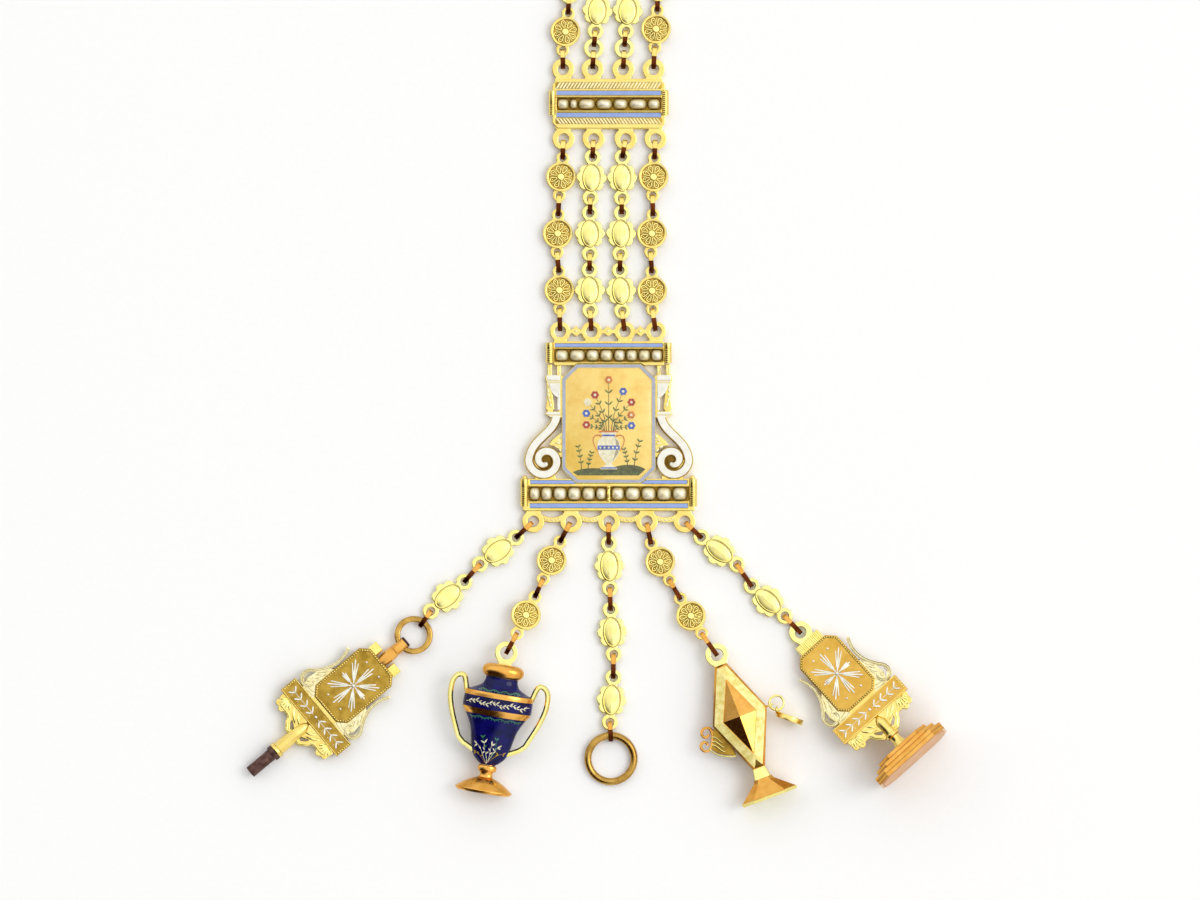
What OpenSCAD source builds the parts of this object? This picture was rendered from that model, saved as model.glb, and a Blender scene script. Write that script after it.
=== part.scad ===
// Watch chain: four strands of flat links, a pearl bar, an enamelled plaque and five short
// drops (watch key, urn, watch ring, lozenge charm and seal), lying flat.
// The origin is the middle of the plaque's panel on the surface that the chain lies on.
// +Y runs towards the clasp and +Z is up. Lengths are in millimetres, angles in degrees.

/* [Links] */
// Thickness of the flat links and eyes
link_t = 0.65; // [0.5:0.05:0.7]
// Height of the middle of the flat links above the surface
link_z = 0.83; // [0.82:0.01:0.9]
// Radius of a round link
rosette_r = 2.65; // [2.45:0.05:2.7]
// Distance between the two holes of a round link
rosette_pitch = 6.7; // [6.4:0.1:6.9]
// Distance between the two holes of an oval link
scallop_pitch = 7.3; // [7.1:0.1:7.5]
// Width of an oval link over its lobes
scallop_w = 5.5; // [5.2:0.1:5.8]
// Length of an oval link over its lobes
scallop_l = 5.8; // [5.6:0.1:6]
// Number of lobes round an oval link, two of them under the eyes
lobes = 10; // [8:2:12]
// Size of the links in the drops against those in the strands
drop_scale = 1.1; // [1.05:0.01:1.12]

/* [Connecting loops] */
// Width of the strip that the loops are bent from
strip_w = 1.0; // [0.8:0.05:1]
// Thickness of the strip
strip_t = 0.26; // [0.2:0.02:0.28]
// Height of a loop over its outside
loop_h = 1.6; // [1.5:0.05:1.62]

/* [Pearl bar] */
// Width of the bar over its end rolls
bar_w = 21.6; // [21:0.1:22]
// Height of the bar along the chain
bar_h = 8.8; // [8.6:0.1:9]
// Distance of the bar's middle from the plaque's middle
bar_y = 57.5; // [57:0.1:58]

/* [Plaque] */
// Half the width of the picture panel over its border
panel_w2 = 8.45; // [8.3:0.05:8.5]
// Half the height of the picture panel over its border
panel_h2 = 10.75; // [10.6:0.05:10.8]
// Width of the enamel border round the picture
border = 0.75; // [0.6:0.05:0.9]
// Cut at each corner of the panel
corner = 2.6; // [2.2:0.1:2.8]
// Thickness of the gold plate under the panel
plate_t = 1.1; // [1:0.05:1.2]
// Thickness of the two pearl-set bars of the plaque
bar_t = 1.5; // [1.4:0.05:1.6]

/* [Watch key] */
// Width of the long band across the key
band_w = 15.6; // [15:0.1:16]
// Height of the key's long axis above the surface
key_z = 1.5; // [1.5:0.05:1.6]
// Radius of the pin that the key turns on
pin_r = 0.5; // [0.45:0.01:0.5]
// Radial play of the pin in its collar
pin_play = 0.05; // [0.03:0.01:0.06]
// Side of the square socket in the key's pipe
socket = 1.2; // [1:0.05:1.3]

/* [Urn] */
// Depth of the urn against its width
urn_flat = 0.56; // [0.5:0.01:0.6]
// Thickness of the enamel on the urn
enamel_t = 0.4; // [0.3:0.05:0.45]

/* [Watch ring] */
// Inside radius of the ring that held the watch
ring_r = 3.5; // [3.4:0.05:3.6]
// Thickness of its wire
ring_wire = 1.3; // [1.2:0.05:1.3]

/* [Seal] */
// Long side of the seal's base
seal_w = 15.4; // [15:0.1:16]
// Short side of the seal's base
seal_d = 11.5; // [11.4:0.1:11.6]

/* [Clasp] */
// Distance of the clasp's hanging ring from the plaque's middle
clasp_y = 91.2; // [91.1:0.1:92]
// Inside radius of the hanging ring
clasp_bore = 2.5; // [2.2:0.1:2.6]

/* [Hidden] */
gap = 0.02;         // between a setting and what is set in it
gold = "#e3b94f";
pale_gold = "#f1dc8a";
blue = "#8fa6e0";
lilac = "#a9a9c9";
white = "#f6f6ec";
pearl = "#efe6c8";
cobalt = "#1a1a7a";
steel = "#4a3936";
rose = "#d9ae8c";

// Links of the strands from the clasp down: x, y, lean (lower end towards +X)
strands = [
    [[-7.8, 70.5, -8.8], [-8.6, 44.4, -5.5], [-9.2, 34.2, -2.0], [-8.9, 24.0, 1.0]],
    [[-2.05, 74.25, -5.4], [-3.1, 44.25, -3.0], [-3.4, 34.2, 0.0], [-3.4, 24.0, 1.0]],
    [[3.4, 74.25, -5.4], [2.4, 44.25, -1.0], [2.2, 34.2, -2.0], [2.2, 23.9, 3.0]],
    [[8.5, 71.0, -4.0], [8.05, 44.4, -3.0], [7.75, 34.2, -3.5], [7.8, 23.9, 1.0]]
];
// Links of the drops from the plaque down: x, y, lean, height of the middle, lift of the lower end
drops = [
    [[-19.95, -22.9, -53.7, 0.83, 0], [-29.0, -31.1, -48.8, 0.83, 0]],
    [[-10.3, -24.6, -24.4, 1.0, 3], [-14.9, -34.45, -26.2, 1.85, 10]],
    [[0.1, -25.6, 1.5, 0.83, 0], [0.6, -37.5, 3.8, 0.83, 0], [0.5, -49.7, -4.5, 0.83, 0]],
    [[9.25, -24.85, 26.6, 0.95, 2], [14.8, -34.6, 31.5, 1.7, 9]],
    [[19.85, -22.9, 52.7, 0.83, 0], [28.65, -31.9, 47.8, 0.83, 0]]
];
drop_names = ["a", "b", "c", "d", "e"];
drop_kinds = ["scallop", "rosette", "scallop", "rosette", "scallop"];

// Eyes that carry the links: x of each eye, and the one y of the row
bar_top_eyes = [-8.2, -2.9, 2.6, 8.05];
bar_top_y = 63.7;
bar_low_eyes = [-8.15, -2.75, 3.0, 8.4];
bar_low_y = 51.2;
plaque_top_eyes = [-8.75, -3.1, 2.85, 8.45];
plaque_top_y = 16.55;
drop_eyes = [for (k = [-2:2]) 6.8 * k];
drop_eye_y = -17.6;
clasp_eyes = [-7.0, -1.8, 3.8, 9.0];
clasp_eye_y = clasp_y - 9.4;

// Flat jump rings: x, y
jump_rings = [[-7.15, 77.4], [-2.7, 67.5], [2.8, 67.5], [8.85, 77.7]];
jump_r = 1.8;
jump_hole = 1.0;
jump_seat = 0.5;    // from the middle of a jump ring to the strip that passes through it

rosette_eye = [1.0, 0.6];    // outer radius, hole radius
scallop_eye = [1.25, 0.7];
strip_seat = 0.2;   // from the middle of a hole to the outside of the loop in it

// Pearls of the three rows: width of each, from left to right
bar_pearl_w = [2.3, 1.5, 3.2, 3.1, 2.8, 3.4, 2.4];
upper_pearl_w = [2.6, 3.0, 2.5, 2.5, 2.2, 2.2, 2.3, 2.2];
lower_pearl_w = [[2.1, 2.2, 2.6, 2.6, 2.5, 2.0], [2.5, 2.9, 2.8, 2.8, 2.8]];

// Key: place of its star, and the way it points
key_at = [-45.9, -47.1];
key_turn = -140;
key_ring_s = -14.1; // middle of its ring along the key
collar_from = -12.5;
collar_to = -9.75;
collar_r = 1.05;
key_ring_r = [2.4, 3.45];
key_ring_t = 0.7;
key_ring_far_z = 0.95;   // height of the ring's band where the chain holds it

// Urn: place of its rim, the way it points, height there, and how far its foot dips
urn_at = [-18.75, -43.3];
urn_turn = -99.5;
urn_z = 3.75;
urn_dip = 2.2;
urn_bail = [-2.1, 2.6];   // place along the axis, height
// Outline of the urn: distance from the top of the rim, radius
urn_outline = [
    [0, 2.5], [0.25, 3.2], [0.8, 3.7], [1.5, 3.75], [2.1, 3.4], [2.4, 2.95],
    [3.2, 3.0], [4.0, 3.5], [4.8, 5.0], [5.15, 6.05], [6.05, 6.2], [8.2, 6.2],
    [9.3, 5.55], [10.8, 4.7], [12.2, 4.15], [13.8, 3.8], [15.3, 3.5], [16.8, 2.9],
    [17.8, 1.95], [18.25, 1.3], [18.5, 1.65], [19.3, 1.65], [19.5, 1.25], [20.4, 1.25],
    [20.9, 2.3], [21.6, 3.6], [22.7, 4.95], [22.8, 5.15], [23.3, 5.15]
];
// Stretches of the urn that are enamelled: from, to
urn_enamelled = [[2.4, 5.15], [6.05, 8.2], [9.3, 18.25]];

// Lozenge charm: place of its upper tip, the way it points, height there, and its slope
lozenge_at = [20.1, -43.4];
lozenge_turn = -69.5;
lozenge_z = 2.45;
lozenge_slope = 2;
lozenge_l = 19.7;
lozenge_w = 10.4;
lozenge_t = 3.0;
lozenge_tip = 2.3;
lozenge_eye_s = -1.95;

// Seal: place of its eye, the way it points, height there, and its slope
seal_at = [34.5, -37.6];
seal_turn = -48;
seal_z = 1.02;
seal_slope = 9.3;
seal_star_s = 10;    // from the eye to the middle of its panel

watch_ring_at = [0.4, -60.25];

link_names = concat(
    [for (s = [1:4], n = [1:4]) str("strand", s, "_link", n)],
    [for (d = [0:4], n = [1:len(drops[d])]) str("drop_", drop_names[d], "_link", n)]);
loop_names = concat(
    [for (s = [1:4]) str("strand", s, "_loops")],
    [for (d = [0:4]) str("drop_", drop_names[d], "_loops")]);
$fn = 48;

function unit(v) = v / norm(v);
function left_of(v) = [-v.y, v.x];
function along(p, i) = unit(p[min(i + 1, len(p) - 1)] - p[max(i - 1, 0)]);
// Outline of a band of width w that follows the points p
function ribbon(p, w) = [
    for (i = [0:len(p) - 1]) p[i] + w / 2 * left_of(along(p, i)),
    for (i = [len(p) - 1:-1:0]) p[i] - w / 2 * left_of(along(p, i))
];
function bezier(a, b, c, d, n) = [
    for (i = [0:n]) let (t = i / n, u = 1 - t)
        u * u * u * a + 3 * u * u * t * b + 3 * u * t * t * c + t * t * t * d
];
function spiral(mid, r_from, r_to, a_from, a_to, n) = [
    for (i = [1:n]) let (t = i / n, r = r_from + (r_to - r_from) * t, a = a_from + (a_to - a_from) * t)
        mid + r * [cos(a), sin(a)]
];
function ellipse(rx, ry, n) = [for (i = [0:n - 1]) [rx * cos(360 * i / n), ry * sin(360 * i / n)]];
function without_first(list) = [for (i = [1:len(list) - 1]) list[i]];
function sum_to(list, i) = i == 0 ? 0 : list[i - 1] + sum_to(list, i - 1);
function total(list) = sum_to(list, len(list));

// Row of a link as x, y, lean, height and lift
function full_row(row) = len(row) == 3 ? [row.x, row.y, row.z, link_z, 0] : row;
// Middle of a link's hole: end is 1 for the lower hole and -1 for the upper
function hole(row, half, end) = let (r = full_row(row)) [
    r.x + end * half * sin(r.z) * cos(r[4]),
    r.y - end * half * cos(r.z) * cos(r[4]),
    r[3] + end * half * sin(r[4])
];
// Point at the distance d from a, on the way to b, seen from above
function towards(a, b, d) = let (v = unit([b.x - a.x, b.y - a.y])) [a.x + d * v.x, a.y + d * v.y, a.z];
function half_pitch(kind, k) = k / 2 * (kind == "rosette" ? rosette_pitch : scallop_pitch);
// Point of a drop's own frame, s along it, across it and up, in the frame of the chain
function placed(at, turn, s, across = 0) = [
    at.x + s * cos(turn) - across * sin(turn),
    at.y + s * sin(turn) + across * cos(turn)
];

// Plain ring of rectangular section
module washer(outer, inner, t) {
    translate([0, 0, -t / 2]) difference() {
        cylinder(h = t, r = outer);
        translate([0, 0, -1]) cylinder(h = t + 2, r = inner);
    }
}

// Ring of round wire
module wire_ring(r, wire) {
    rotate_extrude() translate([r, 0]) circle(d = wire, $fn = 24);
}

// Rectangle with cut corners, as an outline
function cut_box(x2, y2, c) = [
    [-x2, y2 - c], [-x2 + c, y2], [x2 - c, y2], [x2, y2 - c],
    [x2, -y2 + c], [x2 - c, -y2], [-x2 + c, -y2], [-x2, -y2 + c]
];

// Flat strip bent into a long loop that stands on edge, from the point p to the point q
module loop(p, q, tall = loop_h) {
    reach = norm(q - p);
    r = tall / 2;
    translate(p)
        rotate([0, 0, atan2(q.y - p.y, q.x - p.x)])
        rotate([0, -asin((q.z - p.z) / reach), 0])
        rotate([90, 0, 0])
        translate([0, 0, -strip_w / 2])
        linear_extrude(strip_w) difference() {
            slot_shape(r - strip_seat, reach + strip_seat - r, r);
            slot_shape(r - strip_seat, reach + strip_seat - r, r - strip_t);
        }
}

// Slot with round ends of radius r about the points from and to of the X axis
module slot_shape(from, to, r) {
    translate([from, -r]) square([to - from, 2 * r]);
    for (x = [from, to]) translate([x, 0]) circle(r);
}

// Places a link by its row: x, y, lean, height of its middle, lift of its lower end
module place_link(row) {
    r = full_row(row);
    translate([r.x, r.y, r[3]]) rotate([0, 0, r.z]) rotate([-r[4], 0, 0]) children();
}

// Round link: a disc with a raised rim round a flower boss, and an eye at each end
module rosette_link(k) {
    half = k * rosette_pitch / 2;
    rim = 0.45;
    boss = 0.55;
    difference() {
        union() {
            translate([0, 0, -link_t / 2]) cylinder(h = link_t, r = k * rosette_r);
            for (s = [-1, 1]) translate([0, s * half, -link_t / 2])
                cylinder(h = link_t, r = k * rosette_eye[0]);
            translate([0, 0, link_t / 2 - gap]) difference() {
                cylinder(h = 0.4, r = k * rosette_r - 0.05);
                translate([0, 0, -1]) cylinder(h = 3, r = k * rosette_r - rim);
            }
            translate([0, 0, link_t / 2 - gap]) cylinder(h = 0.35, r = k * boss);
        }
        for (s = [-1, 1]) translate([0, s * half, -1]) cylinder(h = 3, r = k * rosette_eye[1]);
    }
}

// Oval link: a lobed plate with a raised oval boss, and an eye at each end
module scallop_link(k) {
    half = k * scallop_pitch / 2;
    lobe_r = 0.85 * k;
    boss = [1.55, 2.25];
    difference() {
        union() {
            translate([0, 0, -link_t / 2]) linear_extrude(link_t) {
                circle(k * (scallop_w / 2 - 0.45));
                for (i = [0:lobes - 1]) let (a = 90 + 360 * i / lobes)
                    translate([(k * scallop_w / 2 - lobe_r) * cos(a), (k * scallop_l / 2 - lobe_r) * sin(a)])
                        circle(lobe_r);
                for (s = [-1, 1]) translate([0, s * half]) circle(k * scallop_eye[0]);
            }
            linear_extrude(link_t / 2 + 0.35) polygon(k * ellipse(boss.x, boss.y, 32));
            linear_extrude(link_t / 2 + 0.6) polygon(0.7 * k * ellipse(boss.x, boss.y, 32));
        }
        for (s = [-1, 1]) translate([0, s * half, -1]) cylinder(h = 3, r = k * scallop_eye[1]);
    }
}

module link(kind, row, k) {
    place_link(row) color(gold) {
        if (kind == "rosette") rosette_link(k); else scallop_link(k);
    }
}

function strand_kind(s) = (s == 1 || s == 4) ? "rosette" : "scallop";

module strand_link(s, n) { link(strand_kind(s), strands[s - 1][n - 1], 1); }

module drop_link(d, n) { link(drop_kinds[d], drops[d][n - 1], drop_scale); }

// Loops of one strand, with its flat jump ring
module strand_loops(s) {
    rows = strands[s - 1];
    half = half_pitch(strand_kind(s), 1);
    ring = [jump_rings[s - 1].x, jump_rings[s - 1].y, link_z];
    clasp_eye = [clasp_eyes[s - 1], clasp_eye_y, link_z];
    top_eye = [bar_top_eyes[s - 1], bar_top_y, link_z];
    low_eye = [bar_low_eyes[s - 1], bar_low_y, link_z];
    plaque_eye = [plaque_top_eyes[s - 1], plaque_top_y, link_z];
    above = hole(rows[0], half, -1);
    below = hole(rows[0], half, 1);
    color(gold) {
        if (strand_kind(s) == "rosette") {
            loop(towards(clasp_eye, ring, 0.3), towards(ring, clasp_eye, jump_seat));
            loop(towards(ring, above, jump_seat), above);
            loop(below, towards(top_eye, below, 0.3));
        } else {
            loop(towards(clasp_eye, above, 0.3), above);
            loop(below, towards(ring, below, jump_seat));
            loop(towards(ring, top_eye, jump_seat), towards(top_eye, ring, 0.3));
        }
        loop(towards(low_eye, hole(rows[1], half, -1), 0.3), hole(rows[1], half, -1));
        for (n = [1:2]) loop(hole(rows[n], half, 1), hole(rows[n + 1], half, -1));
        loop(hole(rows[3], half, 1), towards(plaque_eye, hole(rows[3], half, 1), 0.3));
    }
    color(pale_gold) translate(ring) washer(jump_r, jump_hole, link_t);
}

key_ring_hold = 2.0;      // from the middle of the key's ring to the strip inside it
tall_loop = 2.1;          // height of the loop that holds the watch ring
tall_loop_z = 1.08;
urn_loop_up = 0.2;        // middle of the last loop above the middle of the eye that it slopes to
seal_loop_down = 0.15;
// Where each drop's last loop ends
drop_ends = [
    let (ring = placed(key_at, key_turn, key_ring_s), low = hole(drops[0][1], half_pitch("scallop", drop_scale), 1))
        towards([ring.x, ring.y, key_ring_far_z], low, key_ring_hold),
    let (bail = placed(urn_at, urn_turn, urn_bail[0])) [bail.x, bail.y, urn_bail[1] + urn_loop_up],
    [watch_ring_at.x, watch_ring_at.y + ring_r - 0.25, tall_loop_z],
    let (eye = placed(lozenge_at, lozenge_turn, lozenge_eye_s)) [eye.x, eye.y, lozenge_z],
    [seal_at.x, seal_at.y, seal_z - seal_loop_down]
];

// Loops of one drop, from the plaque's eye down
module drop_loops(d) {
    rows = drops[d];
    last = len(rows) - 1;
    half = half_pitch(drop_kinds[d], drop_scale);
    eye = [drop_eyes[d], drop_eye_y, link_z];
    low = hole(rows[last], half, 1);
    color(gold) {
        loop(towards(eye, hole(rows[0], half, -1), 0.35), hole(rows[0], half, -1));
        for (n = [0:last - 1]) loop(hole(rows[n], half, 1), hole(rows[n + 1], half, -1));
        if (drop_names[d] == "c") loop([low.x, low.y, tall_loop_z], drop_ends[d], tall_loop);
        else loop(low, drop_ends[d]);
    }
}

// Row of flat eyes with short necks that run from the eyes to the edge at y_edge
module eye_row(xs, y, outer, inner, y_edge, neck) {
    translate([0, 0, link_z - link_t / 2]) linear_extrude(link_t) difference() {
        union() {
            for (x = xs) translate([x, y]) circle(outer);
            for (x = xs) translate([x - neck / 2, min(y, y_edge)]) square([neck, abs(y - y_edge)]);
        }
        for (x = xs) translate([x, y]) circle(inner);
    }
}

// Pair of ribbed rolls that close the ends of a bar
module end_rolls(x, y, r, len, z) {
    for (s = [-1, 1]) translate([s * x, y - len / 2, z]) rotate([-90, 0, 0]) cylinder(h = len, r = r);
}

module block(x_mid, y_mid, w, h, z_from, z_to) {
    translate([x_mid - w / 2, y_mid - h / 2, z_from]) cube([w, h, z_to - z_from]);
}

// Row of half pearls packed side by side from x_from, held in a channel of height h
module pearl_row(widths, x_from, y_mid, h, floor_z, top_z) {
    intersection() {
        union() for (i = [0:len(widths) - 1]) let (r = widths[i] / 2 + 0.06)
            translate([x_from + sum_to(widths, i) + widths[i] / 2, y_mid, top_z - r * 0.94]) sphere(r);
        block(x_from + total(widths) / 2, y_mid, total(widths), h, floor_z, top_z + 1);
    }
}

// Clasp: a plain plate with four eyes and a hanging ring
module clasp() {
    plate_w = 21;
    plate_h = 4;
    plate_y = clasp_y - 5.8;
    ring_w = 1.5;
    color(gold) difference() {
        union() {
            eye_row(clasp_eyes, clasp_eye_y, 1.9, 0.95, plate_y, 1.6);
            translate([1, plate_y, 0]) linear_extrude(1.6) polygon(cut_box(plate_w / 2, plate_h / 2, 0.8));
            translate([1, clasp_y, 0]) cylinder(h = 1.6, r = clasp_bore + ring_w);
        }
        translate([1, clasp_y, -1]) cylinder(h = 4, r = clasp_bore);
    }
}

bar_channel = 2.1;   // height of the pearl channel in the small bar
bar_strip = 0.8;     // height of an enamel strip
bar_strip_y = 1.98;  // from the bar's middle to the middle of a strip
bar_in = 9.4;        // half the length of the strips and the channel

module bar_frame() {
    color(gold) {
        difference() {
            translate([0, bar_y, 0]) linear_extrude(1.3) polygon(cut_box(10.15, bar_h / 2, 0.9));
            block(0, bar_y, 2 * bar_in, bar_channel, 0.5, 3);
            for (s = [-1, 1]) block(0, bar_y + s * bar_strip_y, 2 * bar_in, bar_strip, 0.9, 3);
        }
        for (s = [-1, 1]) block(0, bar_y + s * (bar_channel / 2 + 0.26), 2 * bar_in, 0.5, 1.2, 1.7);
        end_rolls(bar_w / 2 - 0.65, bar_y + 0.2, 0.65, 4.5, 1.25);
        eye_row(bar_top_eyes, bar_top_y, 1.9, 0.95, bar_y + bar_h / 2 - 1, 1.4);
        eye_row(bar_low_eyes, bar_low_y, 1.9, 0.95, bar_y - bar_h / 2 + 1, 1.4);
    }
}

module bar_enamel() {
    color(blue) for (s = [-1, 1])
        block(0, bar_y + s * bar_strip_y, 2 * (bar_in - gap), bar_strip - 2 * gap, 0.9 + gap, 1.4);
}

module bar_pearls() {
    color(pearl) pearl_row(bar_pearl_w, -total(bar_pearl_w) / 2, bar_y, bar_channel - 2 * gap, 0.5 + gap, 2.1);
}

top_bar = [0, 12.75, 19.9, 4.6];      // middle x and y, width and height of the plaque's upper bar
top_channel = [0, 12.3, 19.6, 2.3];
top_strip = [0, 14.1, 19.4, 0.65];
low_bar = [0, -12.8, 31.0, 5.8];
low_channel = [0, -12.6, 28.8, 2.6];
low_strip = [0, -14.75, 28.4, 0.8];
inner_strips = [10.1, -10.5, 8.0, 0.65];   // one on each side, the first number its distance from the middle
divider_w = 0.7;
strip_floor = 1.15;
channel_floor = 0.5;
volute = [-11.45, -6.6];
scroll_path = concat(
    bezier([-9.5, 1.3], [-9.9, -2.5], [-14.6, -3.0], [-14.7, -6.6], 10),
    spiral(volute, 3.26, 0.95, 180, 620, 28));

module box_at(b, z_from, z_to, shrink = 0) {
    block(b[0], b[1], b[2] - 2 * shrink, b[3] - 2 * shrink, z_from, z_to);
}

module both_sides() {
    children();
    mirror([1, 0, 0]) children();
}

// Outline of the left column: posts, abacus, capital, outer leaf and base slab
module column_shape() {
    translate([-11.0, 8.4]) square([0.7, 2.2]);
    translate([-9.6, 8.4]) square([0.7, 2.2]);
    translate([-11.1, 7.7]) square([2.9, 0.9]);
    polygon([[-10.9, 7.8], [-8.2, 7.8], [-8.2, 4.0], [-9.2, 4.4], [-10.0, 5.6], [-10.6, 7.0]]);
    polygon([[-11.1, 7.8], [-10.5, 7.8], [-10.35, 5.2], [-10.2, 4.2], [-9.9, 2.6], [-10.6, 1.9], [-11.2, 4.5]]);
    polygon([[-11.6, 1.75], [-11.0, 2.2], [-8.2, 2.2], [-8.2, 1.1], [-10.6, 1.1]]);
}

// Web of leaves between the scroll and the panel
module web_shape() {
    polygon([[-9.3, -2.2], [-8.2, -1.4], [-8.2, -5.4], [-9.2, -4.2], [-10.8, -3.9], [-10.2, -3.0]]);
    translate([-12.2, -10.2]) square([2.6, 0.9]);
    translate([-9.6, -6.0]) square([1.4, 0.8]);
}

module plaque_frame() {
    color(gold) {
        linear_extrude(plate_t) polygon(cut_box(panel_w2, panel_h2, corner));
        both_sides() linear_extrude(plate_t) {
            column_shape();
            web_shape();
            polygon(ribbon(scroll_path, 1.3));
        }
        difference() {
            union() {
                box_at(top_bar, 0, bar_t);
                box_at(low_bar, 0, bar_t);
            }
            box_at(top_channel, channel_floor, 3);
            box_at(top_strip, strip_floor, 3);
            box_at(low_channel, channel_floor, 3);
            box_at(low_strip, strip_floor, 3);
            both_sides() box_at(inner_strips, strip_floor, 3);
            linear_extrude(3) polygon(cut_box(panel_w2 + gap, panel_h2 + gap, corner));
        }
        block(0, low_channel[1], divider_w, low_channel[3] + 0.2, 0.3, 2.0);
        end_rolls(10.6, 12.75, 0.75, 3.7, 1.3);
        end_rolls(15.15, -12.4, 0.75, 5.0, 1.3);
        eye_row(plaque_top_eyes, plaque_top_y, 1.85, 1.0, 14.2, 2.2);
        eye_row(drop_eyes, drop_eye_y, 2.0, 1.0, -15.2, 2.4);
        spacers();
        swags();
    }
}

// Small pointed leaves between the plaque's upper eyes
module spacers() {
    mids = [for (i = [0:2]) (plaque_top_eyes[i] + plaque_top_eyes[i + 1]) / 2];
    translate([0, 0, link_z - link_t / 2]) linear_extrude(link_t) for (x = mids)
        translate([x, 16.6]) polygon([[-1.5, 0.5], [-0.5, 0.9], [0.5, 0.9], [1.5, 0.5], [0.6, -0.4], [0, -1.0], [-0.6, -0.4]]);
}

// Hanging swags between the lower eyes
module swags() {
    translate([0, 0, link_z - link_t / 2]) linear_extrude(link_t) for (i = [0:3])
        translate([(drop_eyes[i] + drop_eyes[i + 1]) / 2, -15.55]) difference() {
            circle(2.35);
            circle(1.4);
            translate([-3, 0]) square([6, 3]);
        }
}

module plaque_blue_enamel() {
    color(blue) {
        box_at(top_strip, strip_floor + gap, bar_t + 0.1, gap);
        box_at(low_strip, strip_floor + gap, bar_t + 0.1, gap);
        difference() {
            both_sides() box_at(inner_strips, strip_floor + gap, bar_t + 0.1, gap);
            linear_extrude(3) polygon(cut_box(panel_w2 + 0.1, panel_h2 + 0.1, corner));
        }
    }
}

module plaque_white_enamel() {
    capital = [[-10.7, 7.6], [-8.75, 7.6], [-8.75, 4.7], [-9.3, 4.9], [-9.95, 5.9]];
    color(white) both_sides() translate([0, 0, plate_t + gap]) linear_extrude(0.4) {
        translate([-10.95, 7.7]) square([2.2, 0.75]);
        polygon(capital);
        polygon([[-11.3, 1.75], [-10.9, 2.05], [-8.75, 2.05], [-8.75, 1.25], [-10.5, 1.25]]);
        polygon(ribbon(scroll_path, 0.9));
    }
}

module plaque_pearls_upper() {
    color(pearl) pearl_row(upper_pearl_w, -total(upper_pearl_w) / 2, top_channel[1],
        top_channel[3] - 2 * gap, channel_floor + gap, 2.2);
}

module plaque_pearls_lower() {
    start = divider_w / 2 + gap;
    left = lower_pearl_w[0];
    color(pearl) {
        pearl_row(left, -start - total(left), low_channel[1], low_channel[3] - 2 * gap, channel_floor + gap, 2.3);
        pearl_row(lower_pearl_w[1], start, low_channel[1], low_channel[3] - 2 * gap, channel_floor + gap, 2.3);
    }
}

module panel_border() {
    color(lilac) translate([0, 0, plate_t + gap]) linear_extrude(0.5) difference() {
        polygon(cut_box(panel_w2, panel_h2, corner));
        polygon(cut_box(panel_w2 - border, panel_h2 - border, corner - 0.3));
    }
}

module panel_picture() {
    inset = border + gap;
    color("#f5d36a") translate([0, 0, plate_t + gap]) linear_extrude(0.4)
        polygon(cut_box(panel_w2 - inset, panel_h2 - inset, corner - 0.3));
}

// Frame of a drop: +X runs down the drop, its origin at the point, tipped by slope
module place_drop(at, turn, z, slope = 0) {
    translate([at.x, at.y, z]) rotate([0, 0, turn]) rotate([0, -slope, 0]) children();
}

// Body of revolution about the X axis from rows of distance and radius
module turned(rows) {
    first = rows[0][0];
    last = rows[len(rows) - 1][0];
    rotate([0, 90, 0]) rotate_extrude()
        polygon(concat([[0, first]], [for (row = rows) [row[1], row[0]]], [[0, last]]));
}

panel_l2 = 6.65;   // half the length and width of the starred panel
panel_a2 = 4.5;
band_s = 8.8;      // middle of the band along the drop
band_h = 3.4;
scroll_mid = [5.4, 5.9];
side_scroll = concat(
    bezier([-3.5, 5.7], [-0.5, 4.2], [2.0, 5.4], [3.9, 6.9], 8),
    spiral(scroll_mid, 1.8, 0.5, 146, -200, 20));
crest_leaf = concat(
    bezier([10.8, 6.6], [13.6, 6.2], [10.8, 3.2], [13.2, 2.6], 8),
    [[14.2, 1.6], [14.0, 0.9]]);

module both_across() {
    children();
    mirror([0, 1, 0]) children();
}

// Plate shared by the key and the seal: starred panel, band, side scrolls and cresting.
// Its origin is the middle of the star and it is the same seen from below.
module cartouche(band_len) {
    linear_extrude(1.3, center = true) polygon(cut_box(panel_l2, panel_a2, 1.5));
    linear_extrude(1.6, center = true) translate([band_s - band_h / 2, -band_len / 2]) square([band_h, band_len]);
    linear_extrude(1.1, center = true) translate([panel_l2 - 1, -3]) square([2, 6]);
    both_across() {
        linear_extrude(1.0, center = true) {
            polygon(ribbon(side_scroll, 0.6));
            polygon([[0.2, 4.2], [7.3, 4.2], [7.3, 5.6], [5.4, 6.4], [3.4, 6.2]]);
            polygon(ribbon(crest_leaf, 0.9));
            translate([11.4, 5.4]) circle(1.35);
            for (a = [-70, -10, 50]) translate([11.4 + 1.2 * cos(a), 5.4 + 1.2 * sin(a)]) circle(0.55);
            polygon([[10.3, 5.6], [10.3, 0.4], [13.6, 0.4], [12.4, 2.4], [11.2, 4.4]]);
        }
    }
}

// Fluted block at the head of a cartouche
module fluted_block(s, across, w) {
    linear_extrude(1.2, center = true) translate([s - 0.9, across - w / 2]) square([1.8, w]);
}

module key_collar() {
    bore = pin_r + pin_play;
    head_room = 0.88;
    color(gold) place_drop(key_at, key_turn, key_z) difference() {
        translate([collar_from, 0, 0]) rotate([0, 90, 0]) cylinder(h = collar_to - collar_from, r = collar_r);
        translate([-12.08, -2, -0.5]) cube([1.55, 4, 1.0]);
        translate([-10.6, 0, 0]) rotate([0, 90, 0]) cylinder(h = 0.5, r = head_room);
        translate([-10.6, 0, 0]) rotate([0, 90, 0]) cylinder(h = 1.2, r = bore);
    }
}

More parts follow.
